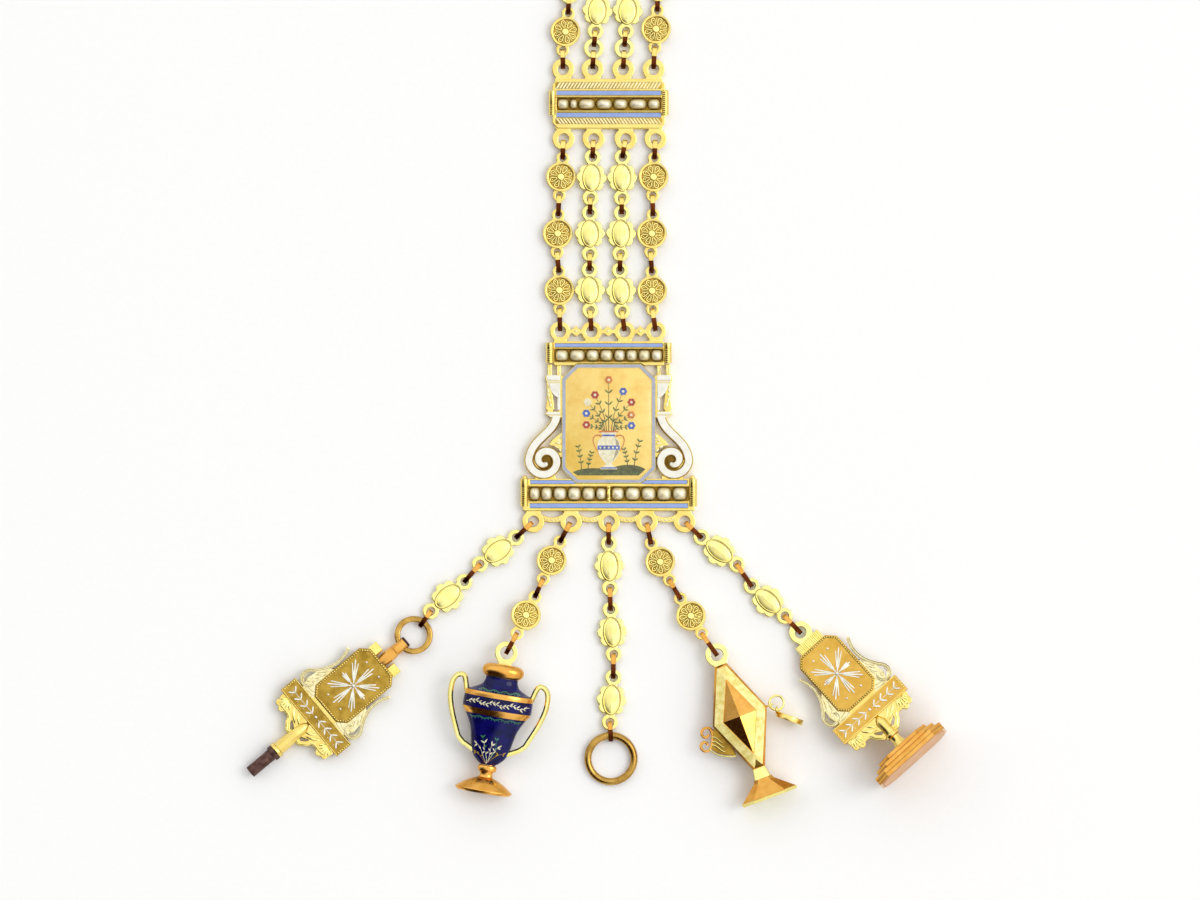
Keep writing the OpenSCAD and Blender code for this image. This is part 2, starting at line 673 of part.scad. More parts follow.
module key_ring() {
    tilt = asin((key_z - key_ring_far_z) / (key_ring_r[0] + key_ring_r[1]));
    color(gold) place_drop(key_at, key_turn, key_z)
        translate([key_ring_s, 0, (key_ring_far_z - key_z) / 2]) rotate([0, -tilt, 0])
        washer(key_ring_r[1], key_ring_r[0], key_ring_t);
}

barrel_end = 18.3;
module key_plate() {
    color(gold) place_drop(key_at, key_turn, key_z) difference() {
        union() {
            cartouche(band_w);
            both_across() fluted_block(-7.3, 2.5, 2.1);
            turned([[-10.46, 0.8], [-10.16, 0.8], [-10.16, pin_r], [collar_to + 0.04, pin_r],
                [collar_to + 0.04, 1.05], [-7.6, 1.15], [-6.2, 0.9], [-5.6, 0.3]]);
            turned([[10.2, 0.5], [12.0, 1.2], [barrel_end - 0.6, 1.2], [barrel_end - 0.5, 1.5], [barrel_end, 1.5]]);
        }
        translate([barrel_end - 2.2, 0, 0]) rotate([0, 90, 0]) cylinder(h = 3, r = 0.85);
    }
}

module key_pipe() {
    tip = 24.25;
    color(steel) place_drop(key_at, key_turn, key_z) difference() {
        turned([[barrel_end - 2.1, 0.83], [barrel_end + gap, 0.83], [barrel_end + gap, 1.44],
            [barrel_end + 0.9, 1.44], [barrel_end + 0.9, 1.08], [tip, 1.08]]);
        translate([tip - 4, -socket / 2, -socket / 2]) cube([5, socket, socket]);
    }
}

// Half outline of the urn, set in by the given amount
module urn_half(inset) {
    n = len(urn_outline) - 1;
    polygon(concat([[0, inset]],
        [for (row = urn_outline) [row[1] - inset, min(max(row[0], inset), urn_outline[n][0] - inset)]],
        [[0, urn_outline[n][0] - inset]]));
}

module urn_stretches(grow) {
    for (z = urn_enamelled) translate([0, z[0] - grow]) square([8, z[1] - z[0] + 2 * grow]);
}

// Body of revolution about the urn's axis, pressed to an oval section
module urn_turned() {
    widest = max([for (row = urn_outline) row[1]]);
    rotate([0, 90, 0]) resize([2 * widest * urn_flat, 0, 0]) rotate_extrude($fn = 32) children();
}

handle_path = concat(
    bezier([6.0, 5.7], [4.4, 6.4], [2.5, 6.3], [2.9, 7.5], 6),
    without_first(bezier([2.9, 7.5], [3.3, 8.8], [5.0, 8.9], [7.0, 8.65], 6)),
    without_first(bezier([7.0, 8.65], [9.5, 8.2], [12.0, 6.9], [13.9, 6.1], 6)),
    [[14.9, 5.0], [15.9, 3.0]]);

// The two handles, a bent strip of oblong section
module urn_handles(grow) {
    linear_extrude(0.9 + 2 * grow, center = true) both_across() polygon(ribbon(handle_path, 0.65 + 2 * grow));
}

module urn_gold() {
    color(gold) place_drop(urn_at, urn_turn, urn_z, -urn_dip) {
        urn_turned() {
            urn_half(enamel_t + gap);
            difference() {
                urn_half(0);
                urn_stretches(gap);
            }
        }
        urn_handles(0);
        translate([urn_bail[0], 0, urn_bail[1] - urn_z]) washer(2.07, 1.17, 0.65);
        translate([-0.7, -1.0, urn_bail[1] - urn_z - 0.32]) cube([1.4, 2.0, 0.64]);
    }
}

module urn_enamel() {
    color(cobalt) place_drop(urn_at, urn_turn, urn_z, -urn_dip) difference() {
        urn_turned() difference() {
            intersection() {
                urn_half(0);
                urn_stretches(0);
            }
            urn_half(enamel_t);
        }
        urn_handles(gap);
    }
}

lozenge_ring_at = [9.85, 7.05];    // along the charm and across it
lozenge_ring_r = 1.3;
lozenge_disc_at = [13.3, 8.3];
disc_r = [2.5, 1.2];
disc_turn = 49.5;
small_eye = [0.55, 0.4];    // radius and wire of the eyes that the small ring passes through

// Outline of the lozenge with its two tips cut, set in by the given amount along both axes
function lozenge(in_s, in_a, tip) = [
    [in_s, tip / 2], [lozenge_l / 2, lozenge_w / 2 - in_a], [lozenge_l - in_s, tip / 2],
    [lozenge_l - in_s, -tip / 2], [lozenge_l / 2, -lozenge_w / 2 + in_a], [in_s, -tip / 2]
];

module lozenge_body() {
    thin = 0.02;
    color(gold) place_drop(lozenge_at, lozenge_turn, lozenge_z, lozenge_slope) {
        linear_extrude(lozenge_t, center = true) polygon(lozenge(0, 0, lozenge_tip));
        for (s = [0, 1]) mirror([0, 0, s]) hull() {
            translate([0, 0, lozenge_t / 2 - 0.1]) linear_extrude(thin) polygon(lozenge(3, 2.05, 0.1));
            translate([lozenge_l / 2, 0, lozenge_t / 2 + 1.25]) cube(thin, center = true);
        }
        hull() {
            translate([lozenge_l - 0.4, 0, 0]) cube([thin, 2.2, 2.2], center = true);
            translate([lozenge_l + 2.0, 0, 0]) cube([thin, 3.3, 2.8], center = true);
        }
        hull() {
            translate([lozenge_l + 1.95, 0, 0]) cube([thin, 3.3, 2.8], center = true);
            translate([lozenge_l + 5.6, 0, 0]) cube([0.3, 10.6, 6.2], center = true);
        }
        translate([lozenge_eye_s, 0, 0]) washer(2.1, 1.1, 0.65);
        linear_extrude(1.0, center = true) translate([-0.6, -1]) square([1.6, 2]);
        handle_curls();
        translate([lozenge_ring_at.x, lozenge_ring_at.y - lozenge_ring_r, 0]) rotate([0, 90, 0])
            wire_ring(small_eye[0], small_eye[1]);
    }
}

// Scrolled handle on the left of the lozenge: two curls and a ribbed leaf
module handle_curls() {
    curl_a = [10.2, -7.3, 1.15];
    curl_b = [12.4, -8.2, 0.95];
    linear_extrude(0.9, center = true) {
        difference() {
            union() {
                for (c = [curl_a, curl_b]) translate([c.x, c.y]) circle(c.z);
                polygon([[9.0, -4.0], [9.8, -6.4], [11.6, -6.6], [12.6, -7.3], [15.4, -4.2], [16.0, -2.4], [12.0, -3.4]]);
            }
            for (c = [curl_a, curl_b]) translate([c.x, c.y]) circle(c.z - 0.5);
        }
    }
}

module lozenge_ring() {
    color(pale_gold) place_drop(lozenge_at, lozenge_turn, lozenge_z, lozenge_slope)
        translate([lozenge_ring_at.x, lozenge_ring_at.y, 0]) wire_ring(lozenge_ring_r, 0.42);
}

// Disc that stands on its edge, with the eye that the small ring holds
module lozenge_disc() {
    near = lozenge_disc_at - disc_r[0] * [cos(disc_turn), sin(disc_turn)];
    from_ring = near - lozenge_ring_at;
    hold = lozenge_ring_at + lozenge_ring_r * unit(from_ring);
    color(gold) place_drop(lozenge_at, lozenge_turn, lozenge_z, lozenge_slope) {
        translate([lozenge_disc_at.x, lozenge_disc_at.y, -0.36]) rotate([0, 0, disc_turn]) rotate([90, 0, 0])
            washer(disc_r[0], disc_r[1], 1.0);
        translate([hold.x, hold.y, 0]) rotate([0, 0, atan2(from_ring.y, from_ring.x) + 90]) rotate([0, 90, 0])
            wire_ring(small_eye[0], small_eye[1]);
    }
}

base_s = 17.3;    // from the middle of the seal's star to the top of its base
module seal_plate() {
    color(gold) place_drop(seal_at, seal_turn, seal_z, seal_slope) {
        washer(2.05, 1.05, 0.65);
        translate([seal_star_s, 0, 0]) {
            cartouche(15.1);
            fluted_block(-7.5, 0, 5.4);
            turned([[10.6, 0.6], [11.8, 1.15], [14.4, 1.15], [14.6, 1.35], [15.2, 1.35], [15.4, 0.95],
                [16.3, 0.95], [base_s + 0.2, 1.4]]);
            difference() {
                union() for (tier = [[0, 0.9, 2.2], [0.9, 0.9, 1.0], [1.8, 1.5, 0]])
                    translate([base_s + tier[0], 0, 0]) rotate([0, 90, 0]) linear_extrude(tier[1] + gap)
                        polygon(cut_box(seal_d / 2 - tier[2], seal_w / 2 - tier[2], 2.2));
                translate([base_s + 2.6, 0, 0]) rotate([0, 90, 0]) linear_extrude(2)
                    polygon(cut_box(seal_d / 2 - 0.5, seal_w / 2 - 0.5, 2.0));
            }
        }
    }
}

module seal_face() {
    color(rose) place_drop(seal_at, seal_turn, seal_z, seal_slope)
        translate([seal_star_s + base_s + 2.6 + gap, 0, 0]) rotate([0, 90, 0]) linear_extrude(0.85)
        polygon(cut_box(seal_d / 2 - 0.5 - gap, seal_w / 2 - 0.5 - gap, 2.0));
}

module watch_ring() {
    mid_r = ring_r + ring_wire / 2;
    far_z = ring_wire / 2 + 0.01;
    near_z = 0.98;
    color(gold) translate([watch_ring_at.x, watch_ring_at.y, (far_z + near_z) / 2])
        rotate([asin((near_z - far_z) / (2 * mid_r)), 0, 0]) wire_ring(mid_r, ring_wire);
}

clasp();
bar_frame();
bar_enamel();
bar_pearls();
plaque_frame();
plaque_blue_enamel();
plaque_white_enamel();
plaque_pearls_upper();
plaque_pearls_lower();
panel_border();
panel_picture();
for (s = [1:4], n = [1:4])
    strand_link(s, n);
for (d = [0:4], n = [1:len(drops[d])])
    drop_link(d, n);
for (s = [1:4])
    strand_loops(s);
for (d = [0:4])
    drop_loops(d);
key_ring();
key_collar();
key_plate();
key_pipe();
urn_gold();
urn_enamel();
lozenge_body();
lozenge_ring();
lozenge_disc();
seal_plate();
seal_face();
watch_ring();
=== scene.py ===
import math
import bpy
import numpy as np
from mathutils import Matrix, Vector
from mathutils.geometry import tessellate_polygon


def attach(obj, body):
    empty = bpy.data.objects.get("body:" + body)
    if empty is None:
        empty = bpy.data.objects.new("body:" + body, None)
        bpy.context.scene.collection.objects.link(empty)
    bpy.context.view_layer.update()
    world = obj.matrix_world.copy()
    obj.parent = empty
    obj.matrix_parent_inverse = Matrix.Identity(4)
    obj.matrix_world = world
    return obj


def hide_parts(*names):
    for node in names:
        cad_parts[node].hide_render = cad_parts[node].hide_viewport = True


# Watch chain of gold, enamel and pearls, lying on a pale table and seen from straight above.
# Shapes are worked out in millimetres in the frame's own axes and turned to metres in makeMesh.
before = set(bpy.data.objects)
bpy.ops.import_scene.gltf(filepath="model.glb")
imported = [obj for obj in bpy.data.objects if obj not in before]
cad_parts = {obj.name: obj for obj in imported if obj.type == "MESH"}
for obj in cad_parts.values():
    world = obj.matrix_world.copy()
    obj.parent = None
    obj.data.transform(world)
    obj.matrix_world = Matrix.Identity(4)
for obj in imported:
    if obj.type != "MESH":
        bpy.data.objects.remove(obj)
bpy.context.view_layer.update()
mm = 0.001
print("frame loaded:", len(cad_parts), "nodes")


# small tools for outlines


def xy(points):
    return np.asarray(points, float).reshape(-1, 2)


def circlePoints(x, y, r, count=48):
    angle = np.linspace(0, 2 * np.pi, count, endpoint=False)
    return np.stack([x + r * np.cos(angle), y + r * np.sin(angle)], 1)


def ovalPoints(x, y, rx, ry, count=48, power=2.0):
    # a power above 2 makes the oval squarer
    angle = np.linspace(0, 2 * np.pi, count, endpoint=False)
    c, s = np.cos(angle), np.sin(angle)
    squared = 2.0 / power
    return np.stack([x + rx * np.sign(c) * abs(c) ** squared, y + ry * np.sign(s) * abs(s) ** squared], 1)


def arcPoints(mid, rFrom, rTo, aFrom, aTo, count=24):
    t = np.linspace(0, 1, count)
    r, a = rFrom + (rTo - rFrom) * t, np.radians(aFrom + (aTo - aFrom) * t)
    return np.stack([mid[0] + r * np.cos(a), mid[1] + r * np.sin(a)], 1)


def bezierPoints(a, b, c, d, count=14):
    t = np.linspace(0, 1, count)[:, None]
    a, b, c, d = (np.array(p, float) for p in (a, b, c, d))
    return (1 - t) ** 3 * a + 3 * (1 - t) ** 2 * t * b + 3 * (1 - t) * t ** 2 * c + t ** 3 * d


def boxPoints(x, y, w, h, corner=0.0):
    # rectangle about (x, y), with its corners cut off
    a, b, c = w / 2, h / 2, corner
    if c <= 0:
        return xy([[x - a, y - b], [x + a, y - b], [x + a, y + b], [x - a, y + b]])
    return xy([[x - a + c, y - b], [x + a - c, y - b], [x + a, y - b + c], [x + a, y + b - c],
               [x + a - c, y + b], [x - a + c, y + b], [x - a, y + b - c], [x - a, y - b + c]])


def along(path, closed=False):
    # unit directions of a path of 2 or 3 columns
    path = np.asarray(path, float)
    step = np.roll(path, -1, 0) - np.roll(path, 1, 0) if closed else np.gradient(path, axis=0)
    return step / np.maximum(np.linalg.norm(step, axis=1, keepdims=True), 1e-9)


def leftOf(way):
    # flat directions turned a quarter to the left
    return np.stack([-way[..., 1], way[..., 0]], -1)


def atHeight(path, z=0.0):
    # flat path lifted to a height, which is one number or one for each point
    return np.column_stack([path, np.broadcast_to(z, len(path))])


def ribbonPoints(path, width):
    # outline of a band that follows a path; width is one number or one for each point
    path = xy(path)
    side = leftOf(along(path)) * (np.broadcast_to(width, len(path)) / 2)[:, None]
    return np.concatenate([path - side, (path + side)[::-1]])


def evenly(path, spacing, closed=True):
    # path with its points at even spacing; closed joins its end to its start
    path = np.asarray(path, float)
    path = np.concatenate([path, path[:1]]) if closed else path
    run = np.concatenate([[0], np.cumsum(np.linalg.norm(np.diff(path, axis=0), axis=1))])
    count = max(8, int(round(run[-1] / spacing))) if closed else max(2, math.ceil(run[-1] / spacing) + 1)
    at = np.linspace(0, run[-1], count, endpoint=not closed)
    return np.stack([np.interp(at, run, path[:, k]) for k in range(path.shape[1])], 1)


# distance fields, for outlines that flow into each other: below 0 is solid


def disc(x, y, r):
    return lambda gx, gy: np.hypot(gx - x, gy - y) - r


def slab(x, y, w, h, r=0.0):
    # rectangle, with its corners rounded by r
    def field(gx, gy):
        dx, dy = abs(gx - x) - w / 2 + r, abs(gy - y) - h / 2 + r
        return np.hypot(np.maximum(dx, 0), np.maximum(dy, 0)) + np.minimum(np.maximum(dx, dy), 0) - r
    return field


def toSegment(gx, gy, a, b):
    # distance to a straight piece, and the share of its length where the nearest point lies
    ex, ey = b[0] - a[0], b[1] - a[1]
    t = np.clip(((gx - a[0]) * ex + (gy - a[1]) * ey) / max(ex * ex + ey * ey, 1e-9), 0, 1)
    return np.hypot(gx - a[0] - t * ex, gy - a[1] - t * ey), t


def stroke(path, width):
    # band with round ends along a path; width is one number or one for each point
    path = xy(path)
    width = np.broadcast_to(width, len(path)) / 2

    def field(gx, gy):
        best = np.full(gx.shape, 1e9)
        for a, b, wa, wb in zip(path[:-1], path[1:], width[:-1], width[1:]):
            far, t = toSegment(gx, gy, a, b)
            best = np.minimum(best, far - (wa + (wb - wa) * t))
        return best
    return field


def inside(points):
    # any closed outline
    points = xy(points)

    def field(gx, gy):
        best, odd = np.full(gx.shape, 1e9), np.zeros(gx.shape, bool)
        for a, b in zip(points, np.roll(points, -1, 0)):
            best = np.minimum(best, toSegment(gx, gy, a, b)[0])
            if abs(b[1] - a[1]) > 1e-12:
                crosses = gx < a[0] + (gy - a[1]) * (b[0] - a[0]) / (b[1] - a[1])
                odd ^= ((a[1] > gy) != (b[1] > gy)) & crosses
        return np.where(odd, -best, best)
    return field


def merged(*fields, blend=0.0):
    # union of fields, with a fillet of about the blend's size where they meet
    def field(gx, gy):
        total = fields[0](gx, gy)
        for other in fields[1:]:
            value = other(gx, gy)
            if blend > 0:
                h = np.clip(0.5 + 0.5 * (total - value) / blend, 0, 1)
                total = total * (1 - h) + value * h - blend * h * (1 - h)
            else:
                total = np.minimum(total, value)
        return total
    return field


def without(field, *cuts):
    return lambda gx, gy: np.maximum(field(gx, gy), -merged(*cuts)(gx, gy))


def outlinesOf(field, box, step=0.09):
    # closed lines where a field is 0, the solid side on their left. box holds them all: left, low, right, high.
    xs = np.arange(box[0], box[2] + step, step)
    ys = np.arange(box[1], box[3] + step, step)
    value = field(*np.meshgrid(xs, ys))
    solid = value < 0
    count = solid[:-1, :-1].astype(int) + solid[:-1, 1:] + solid[1:, 1:] + solid[1:, :-1]
    follow, spot = {}, {}
    for row, col in zip(*np.nonzero((count > 0) & (count < 4))):
        corners = [(row, col), (row, col + 1), (row + 1, col + 1), (row + 1, col)]
        starts, ends = [], []
        for k in range(4):
            a, b = corners[k], corners[(k + 1) % 4]
            if solid[a] == solid[b]:
                continue
            key = (min(a, b), max(a, b))
            t = value[a] / (value[a] - value[b])
            spot[key] = (xs[a[1]] + (xs[b[1]] - xs[a[1]]) * t, ys[a[0]] + (ys[b[0]] - ys[a[0]]) * t)
            (starts if solid[a] else ends).append((k, key))
        for k, key in starts:
            follow[key] = min(ends, key=lambda end: (end[0] - k) % 4)[1]
    loops = []
    while follow:
        line, key = [], next(iter(follow))
        while key in follow:
            line.append(spot[key])
            key = follow.pop(key)
        if len(line) > 12:
            loop = evenly(line, step * 1.5)
            loops.append(loop / 2 + (np.roll(loop, 1, 0) + np.roll(loop, -1, 0)) / 4)
    return loops


# shapes: each is a pair of points and faces


def skin(rows, around, closed=False):
    # faces between rows of points that each run once round; closed joins the last row to the first
    return [(k * around + i, k * around + (i + 1) % around,
             (k + 1) % rows * around + (i + 1) % around, (k + 1) % rows * around + i)
            for k in range(rows if closed else rows - 1) for i in range(around)]


def capped(rows, around, closed=False):
    # the same with a flat face at each end, unless it is closed
    ends = [tuple(range(around))[::-1], tuple(range((rows - 1) * around, rows * around))]
    return skin(rows, around, closed) + ([] if closed else ends)


def outward(shape):
    # turns the faces of a closed shape outwards
    points, faces = shape
    volume = 0.0
    for face in faces:
        a = points[face[0]]
        for b, c in zip(face[1:-1], face[2:]):
            volume += np.dot(a, np.cross(points[b], points[c]))
    return (points, [tuple(reversed(face)) for face in faces]) if volume < 0 else shape


def joined(*shapes):
    points, faces, start = [], [], 0
    for shapePoints, shapeFaces in shapes:
        points.append(shapePoints)
        faces += [tuple(i + start for i in face) for face in shapeFaces]
        start += len(shapePoints)
    return np.concatenate(points), faces


def moved(shape, x=0.0, y=0.0, z=0.0, turn=0.0, tip=0.0):
    # turn is about Z and tip about Y, in degrees, before the shift
    matrix = np.array(Matrix.Rotation(math.radians(turn), 3, "Z") @ Matrix.Rotation(math.radians(-tip), 3, "Y"))
    return shape[0] @ matrix.T + np.array([x, y, z]), shape[1]


def bothSides(shape, axis):
    # the shape and its mirror image on the other side of 0
    points = shape[0].copy()
    points[:, "xyz".index(axis)] *= -1
    return joined(shape, (points, [tuple(reversed(face)) for face in shape[1]]))


def turnedWay(points):
    # signed area, above 0 where the loop runs anticlockwise
    return float(np.sum(points[:, 0] * np.roll(points[:, 1], -1) - np.roll(points[:, 0], -1) * points[:, 1])) / 2


def inset(loop, amount):
    way = along(loop, True)
    before = loop - np.roll(loop, 1, 0)
    before /= np.maximum(np.linalg.norm(before, axis=1, keepdims=True), 1e-9)
    spread = np.clip(np.sum(way * before, 1), 0.6, 1)[:, None]
    return loop + leftOf(way) * amount / spread


def thinWalls(loops, reach):
    # share of the reach that each point can be moved inwards before it meets the far side of a thin wall
    ways = [along(loop, True) for loop in loops]
    every, everySide = np.concatenate(loops), leftOf(np.concatenate(ways))
    shares = []
    for loop, way in zip(loops, ways):
        gap, side = every[None] - loop[:, None], leftOf(way)
        ahead, astray = np.einsum("ijk,ik->ij", gap, side), abs(np.einsum("ijk,ik->ij", gap, way))
        facing = (side @ everySide.T < -0.5) & (ahead > 0) & (astray < ahead * 0.7 + 0.05)
        shares.append(np.minimum(1, 0.45 * np.where(facing, ahead, 9.0).min(1) / reach)[:, None])
    return shares


def plate(loops, low, high, bevel=0.08, under=None, steps=2):
    # flat piece between two heights with rounded edges; the solid side is on the left of each loop
    loops = [xy(loop) for loop in (loops if isinstance(loops, list) and np.ndim(loops[0]) == 2 else [loops])]
    if len(loops) == 1 and turnedWay(loops[0]) < 0:
        loops = [loops[0][::-1]]
    under = bevel if under is None else under
    curve = [math.radians(90 * k / steps) for k in range(steps + 1)]
    rows = [(under * (1 - math.sin(a)), low + under * (1 - math.cos(a))) for a in curve]
    rows += [(bevel * (1 - math.sin(a)), high - bevel * (1 - math.cos(a))) for a in reversed(curve)]
    if bevel > 0.04:
        rows.append((bevel + 0.03, high))   # narrow level edge, so that the bevel's shading stays on the bevel
    rows = [row for k, row in enumerate(rows) if k == 0 or row != rows[k - 1]]
    points, faces, firsts, start = [], [], [], 0
    for loop, share in zip(loops, thinWalls(loops, max(row[0] for row in rows))):
        points += [atHeight(inset(loop, amount * share), z) for amount, z in rows]
        faces += [tuple(start + i for i in face) for face in skin(len(rows), len(loop))]
        firsts.append((start, len(loop)))
        start += len(loop) * len(rows)
    points = np.concatenate(points)
    for row, up in ((0, False), (len(rows) - 1, True)):
        spots = [list(range(first + row * n, first + row * n + n)) for first, n in firsts]
        order = [i for spotRow in spots for i in spotRow]
        flat = [[Vector((points[i][0], points[i][1], 0)) for i in spotRow] for spotRow in spots]
        for triangle in tessellate_polygon(flat):
            a, b, c = (order[i] for i in triangle)
            area = np.cross(points[b][:2] - points[a][:2], points[c][:2] - points[a][:2])
            if abs(area) > 1e-12:
                faces.append((a, b, c) if (area > 0) == up else (a, c, b))
    return points, faces


def dome(outline, low, high, rings=4, mid=None, fullness=1.0, rows=None):
    # swelling over a closed outline; rows give its own profile as (share across, share along, share of the height)
    outline = xy(outline)
    if turnedWay(outline) < 0:
        outline = outline[::-1]
    mid = outline.mean(0) if mid is None else np.array(mid, float)
    n = len(outline)
    if rows is None:
        turns = [math.radians(90 * k / rings) for k in range(rings)]
        rows = [(math.cos(a) ** fullness, math.cos(a) ** fullness, math.sin(a)) for a in turns]
    points = [atHeight(mid + (outline - mid) * [wide, long], low + (high - low) * rise) for wide, long, rise in rows]
    points.append(np.array([[*mid, high], [*mid, low]]))
    top = len(rows) * n
    last = top - n
    faces = skin(len(rows), n) + [(last + i, last + (i + 1) % n, top) for i in range(n)]
    return np.concatenate(points), faces + [((i + 1) % n, i, top + 1) for i in range(n)]


def sweep(path, section, closed=False, size=1.0, up=(0, 0, 1)):
    # section of (across, up) pairs carried along a path; size is one number or one for each point
    path = np.asarray(path, float)
    path = atHeight(path) if path.shape[1] == 2 else path
    section = xy(section)
    way = along(path, closed)
    side = np.cross(np.broadcast_to(up, path.shape), way)
    side /= np.maximum(np.linalg.norm(side, axis=1, keepdims=True), 1e-9)
    rise = np.cross(way, side)
    size = np.broadcast_to(size, len(path))[:, None, None]
    points = path[:, None] + size * (section[None, :, :1] * side[:, None] + section[None, :, 1:] * rise[:, None])
    return outward((points.reshape(-1, 3), capped(len(path), len(section), closed)))


def halfRound(width, height, count=6):
    # section of a rod that lies flat side down
    angle = np.linspace(0, np.pi, count + 1)
    return np.stack([width / 2 * np.cos(angle), height * np.sin(angle)], 1)


def tube(path, radius, closed=False, sides=8):
    return sweep(path, circlePoints(0, 0, radius, sides), closed)


def torus(r, wire, count=48, sides=12):
    return tube(circlePoints(0, 0, r, count), wire / 2, True, sides)


def lathe(rows, sides=48, squash=1.0, closed=False):
    # body turned about the X axis from rows of distance and radius; squash flattens it in Z.
    # With closed the rows are the whole section of a hollow ring.
    rows = xy(rows)
    angle = np.linspace(0, 2 * np.pi, sides, endpoint=False)
    ring = np.stack([np.cos(angle), np.sin(angle) * squash], 1)
    points = np.concatenate([np.column_stack([np.full(sides, x), ring * r]) for x, r in rows])
    return outward((points, capped(len(rows), sides, closed)))


def smoothRows(rows, times=3):
    # turned outline with soft curves through the given rows
    rows = xy(rows)
    padded = np.concatenate([rows[:1], rows, rows[-1:]])
    out = []
    for p0, p1, p2, p3 in zip(padded, padded[1:], padded[2:], padded[3:]):
        for t in np.arange(times) / times:
            out.append(0.5 * (2 * p1 + (p2 - p0) * t + (2 * p0 - 5 * p1 + 4 * p2 - p3) * t ** 2
                              + (3 * p1 - p0 - 3 * p2 + p3) * t ** 3))
    return np.array(out + [rows[-1]])


def bead(x, y, z, r, height=None, sides=8):
    return dome(circlePoints(x, y, r, sides), z, z + (height or r), rings=2)


def cutMark(p, q, width, z, height=0.04):
    # one bright cut of the graver, shown as a long sliver with pointed ends, level along its middle
    p, q = np.array(p, float), np.array(q, float)
    reach = np.linalg.norm(q - p)
    way = (q - p) / reach
    side = leftOf(way) * width / 2
    tip = way * min(width, reach * 0.3)
    slope = min(0.06, width * 0.25)
    narrow, start = side * (1 - 2 * slope / width), way * slope * 1.5
    flat = [p, p + tip - side, q - tip - side, q, q - tip + side, p + tip + side]
    raised = [p + start, p + tip - narrow, q - tip - narrow, q - start, q - tip + narrow, p + tip + narrow]
    return np.concatenate([atHeight(flat, z), atHeight(raised, z + height)]), capped(2, 6)


def leaf(root, tip, width, low, height, bend=0.0):
    # pointed leaf with a raised middle
    root, tip = np.array(root, float), np.array(tip, float)
    way = tip - root
    side = leftOf(way) / np.linalg.norm(way)
    t = np.linspace(0, 1, 7)
    middle = root + way * t[:, None] + side * (bend * np.sin(np.pi * t))[:, None]
    half = width / 2 * np.sin(np.pi * t ** 0.8) ** 0.8
    outline = np.concatenate([middle - side * half[:, None], (middle + side * half[:, None])[-2:0:-1]])
    return dome(outline, low, low + height, rings=2, mid=middle[3])


def eyePlate(at, outer, inner, thick, root, box, blend=0.5):
    # flat ring in the XY plane that grows out of a root; root is a slab and box holds both
    field = without(merged(disc(at, 0, outer), slab(*root), blend=blend), disc(at, 0, inner))
    return plate(outlinesOf(field, box), -thick / 2, thick / 2, 0.12)


def ringPlate(outer, inner, thick, bevel):
    loops = [circlePoints(0, 0, outer, 64), circlePoints(0, 0, inner, 48)[::-1]]
    return plate(loops, -thick / 2, thick / 2, bevel, steps=3)


def raisedLine(path, z, width, height, shift=0.0, count=4, closed=False):
    # raised line along a path or beside it; shift is one number or one for each point
    path = xy(path)
    side = leftOf(along(path, closed)) * np.broadcast_to(shift, len(path))[:, None]
    return moved(sweep(path + side, halfRound(width, height, count), closed), z=z)


# materials


def toLinear(hexColour):
    parts = [int(hexColour[k:k + 2], 16) / 255 for k in (1, 3, 5)]
    return tuple(c / 12.92 if c <= 0.04045 else ((c + 0.055) / 1.055) ** 2.4 for c in parts) + (1.0,)


def addNode(tree, kind, settings=None, links=None):
    # one node with its settings, which name a property or an input, and what is linked to its inputs
    node = tree.nodes.new(kind)
    for name, value in (settings or {}).items():
        if name == "stops":
            ramp = node.color_ramp
            while len(ramp.elements) < len(value):
                ramp.elements.new(1.0)
            for element, (position, colour) in zip(ramp.elements, value):
                element.position, element.color = position, toLinear(colour)
        elif isinstance(name, int) or not hasattr(node, name):
            node.inputs[name].default_value = value
        else:
            setattr(node, name, value)
    for name, socket in (links or {}).items():
        tree.links.new(socket, node.inputs[name])
    return node


materials = {}


def newMaterial(name):
    # an empty material, and the place on the piece that steers all that varies over it
    material = bpy.data.materials.new(name)
    material.use_nodes = True
    tree = material.node_tree
    tree.nodes.clear()
    materials[name] = material
    return tree, addNode(tree, "ShaderNodeTexCoord").outputs["Object"]


def noiseOf(tree, spot, size, detail, roughness=0.5):
    # noise in clouds of about the given size in mm
    values = {"Scale": 1 / (size * mm), "Detail": detail, "Roughness": roughness}
    return addNode(tree, "ShaderNodeTexNoise", values, {"Vector": spot}).outputs["Fac"]


def rampOf(tree, value, *stops):
    return addNode(tree, "ShaderNodeValToRGB", {"stops": stops}, {"Fac": value}).outputs["Color"]


def rangeOf(tree, value, fromMin, fromMax, toMin, toMax):
    values = {"From Min": fromMin, "From Max": fromMax, "To Min": toMin, "To Max": toMax}
    return addNode(tree, "ShaderNodeMapRange", values, {"Value": value}).outputs["Result"]


def bumpOf(tree, height, strength, distance):
    values = {"Strength": strength, "Distance": distance * mm}
    return addNode(tree, "ShaderNodeBump", values, {"Height": height}).outputs["Normal"]


def mixOf(tree, share, colour, hexColour):
    # the colour, with the share's part of a fixed one
    values = {"data_type": "RGBA", 7: toLinear(hexColour)}
    return addNode(tree, "ShaderNodeMix", values, {0: share, 6: colour}).outputs[2]


def finishMaterial(tree, settings, links):
    shader = addNode(tree, "ShaderNodeBsdfPrincipled", settings, links)
    addNode(tree, "ShaderNodeOutputMaterial", links={"Surface": shader.outputs[0]})


# sizes in mm of the fine marks on metal and of the waves on glass
grain = {"tooling": 0.5, "frost": 0.16, "scratch": 0.02, "wave": 0.6, "waveHeight": 0.03}


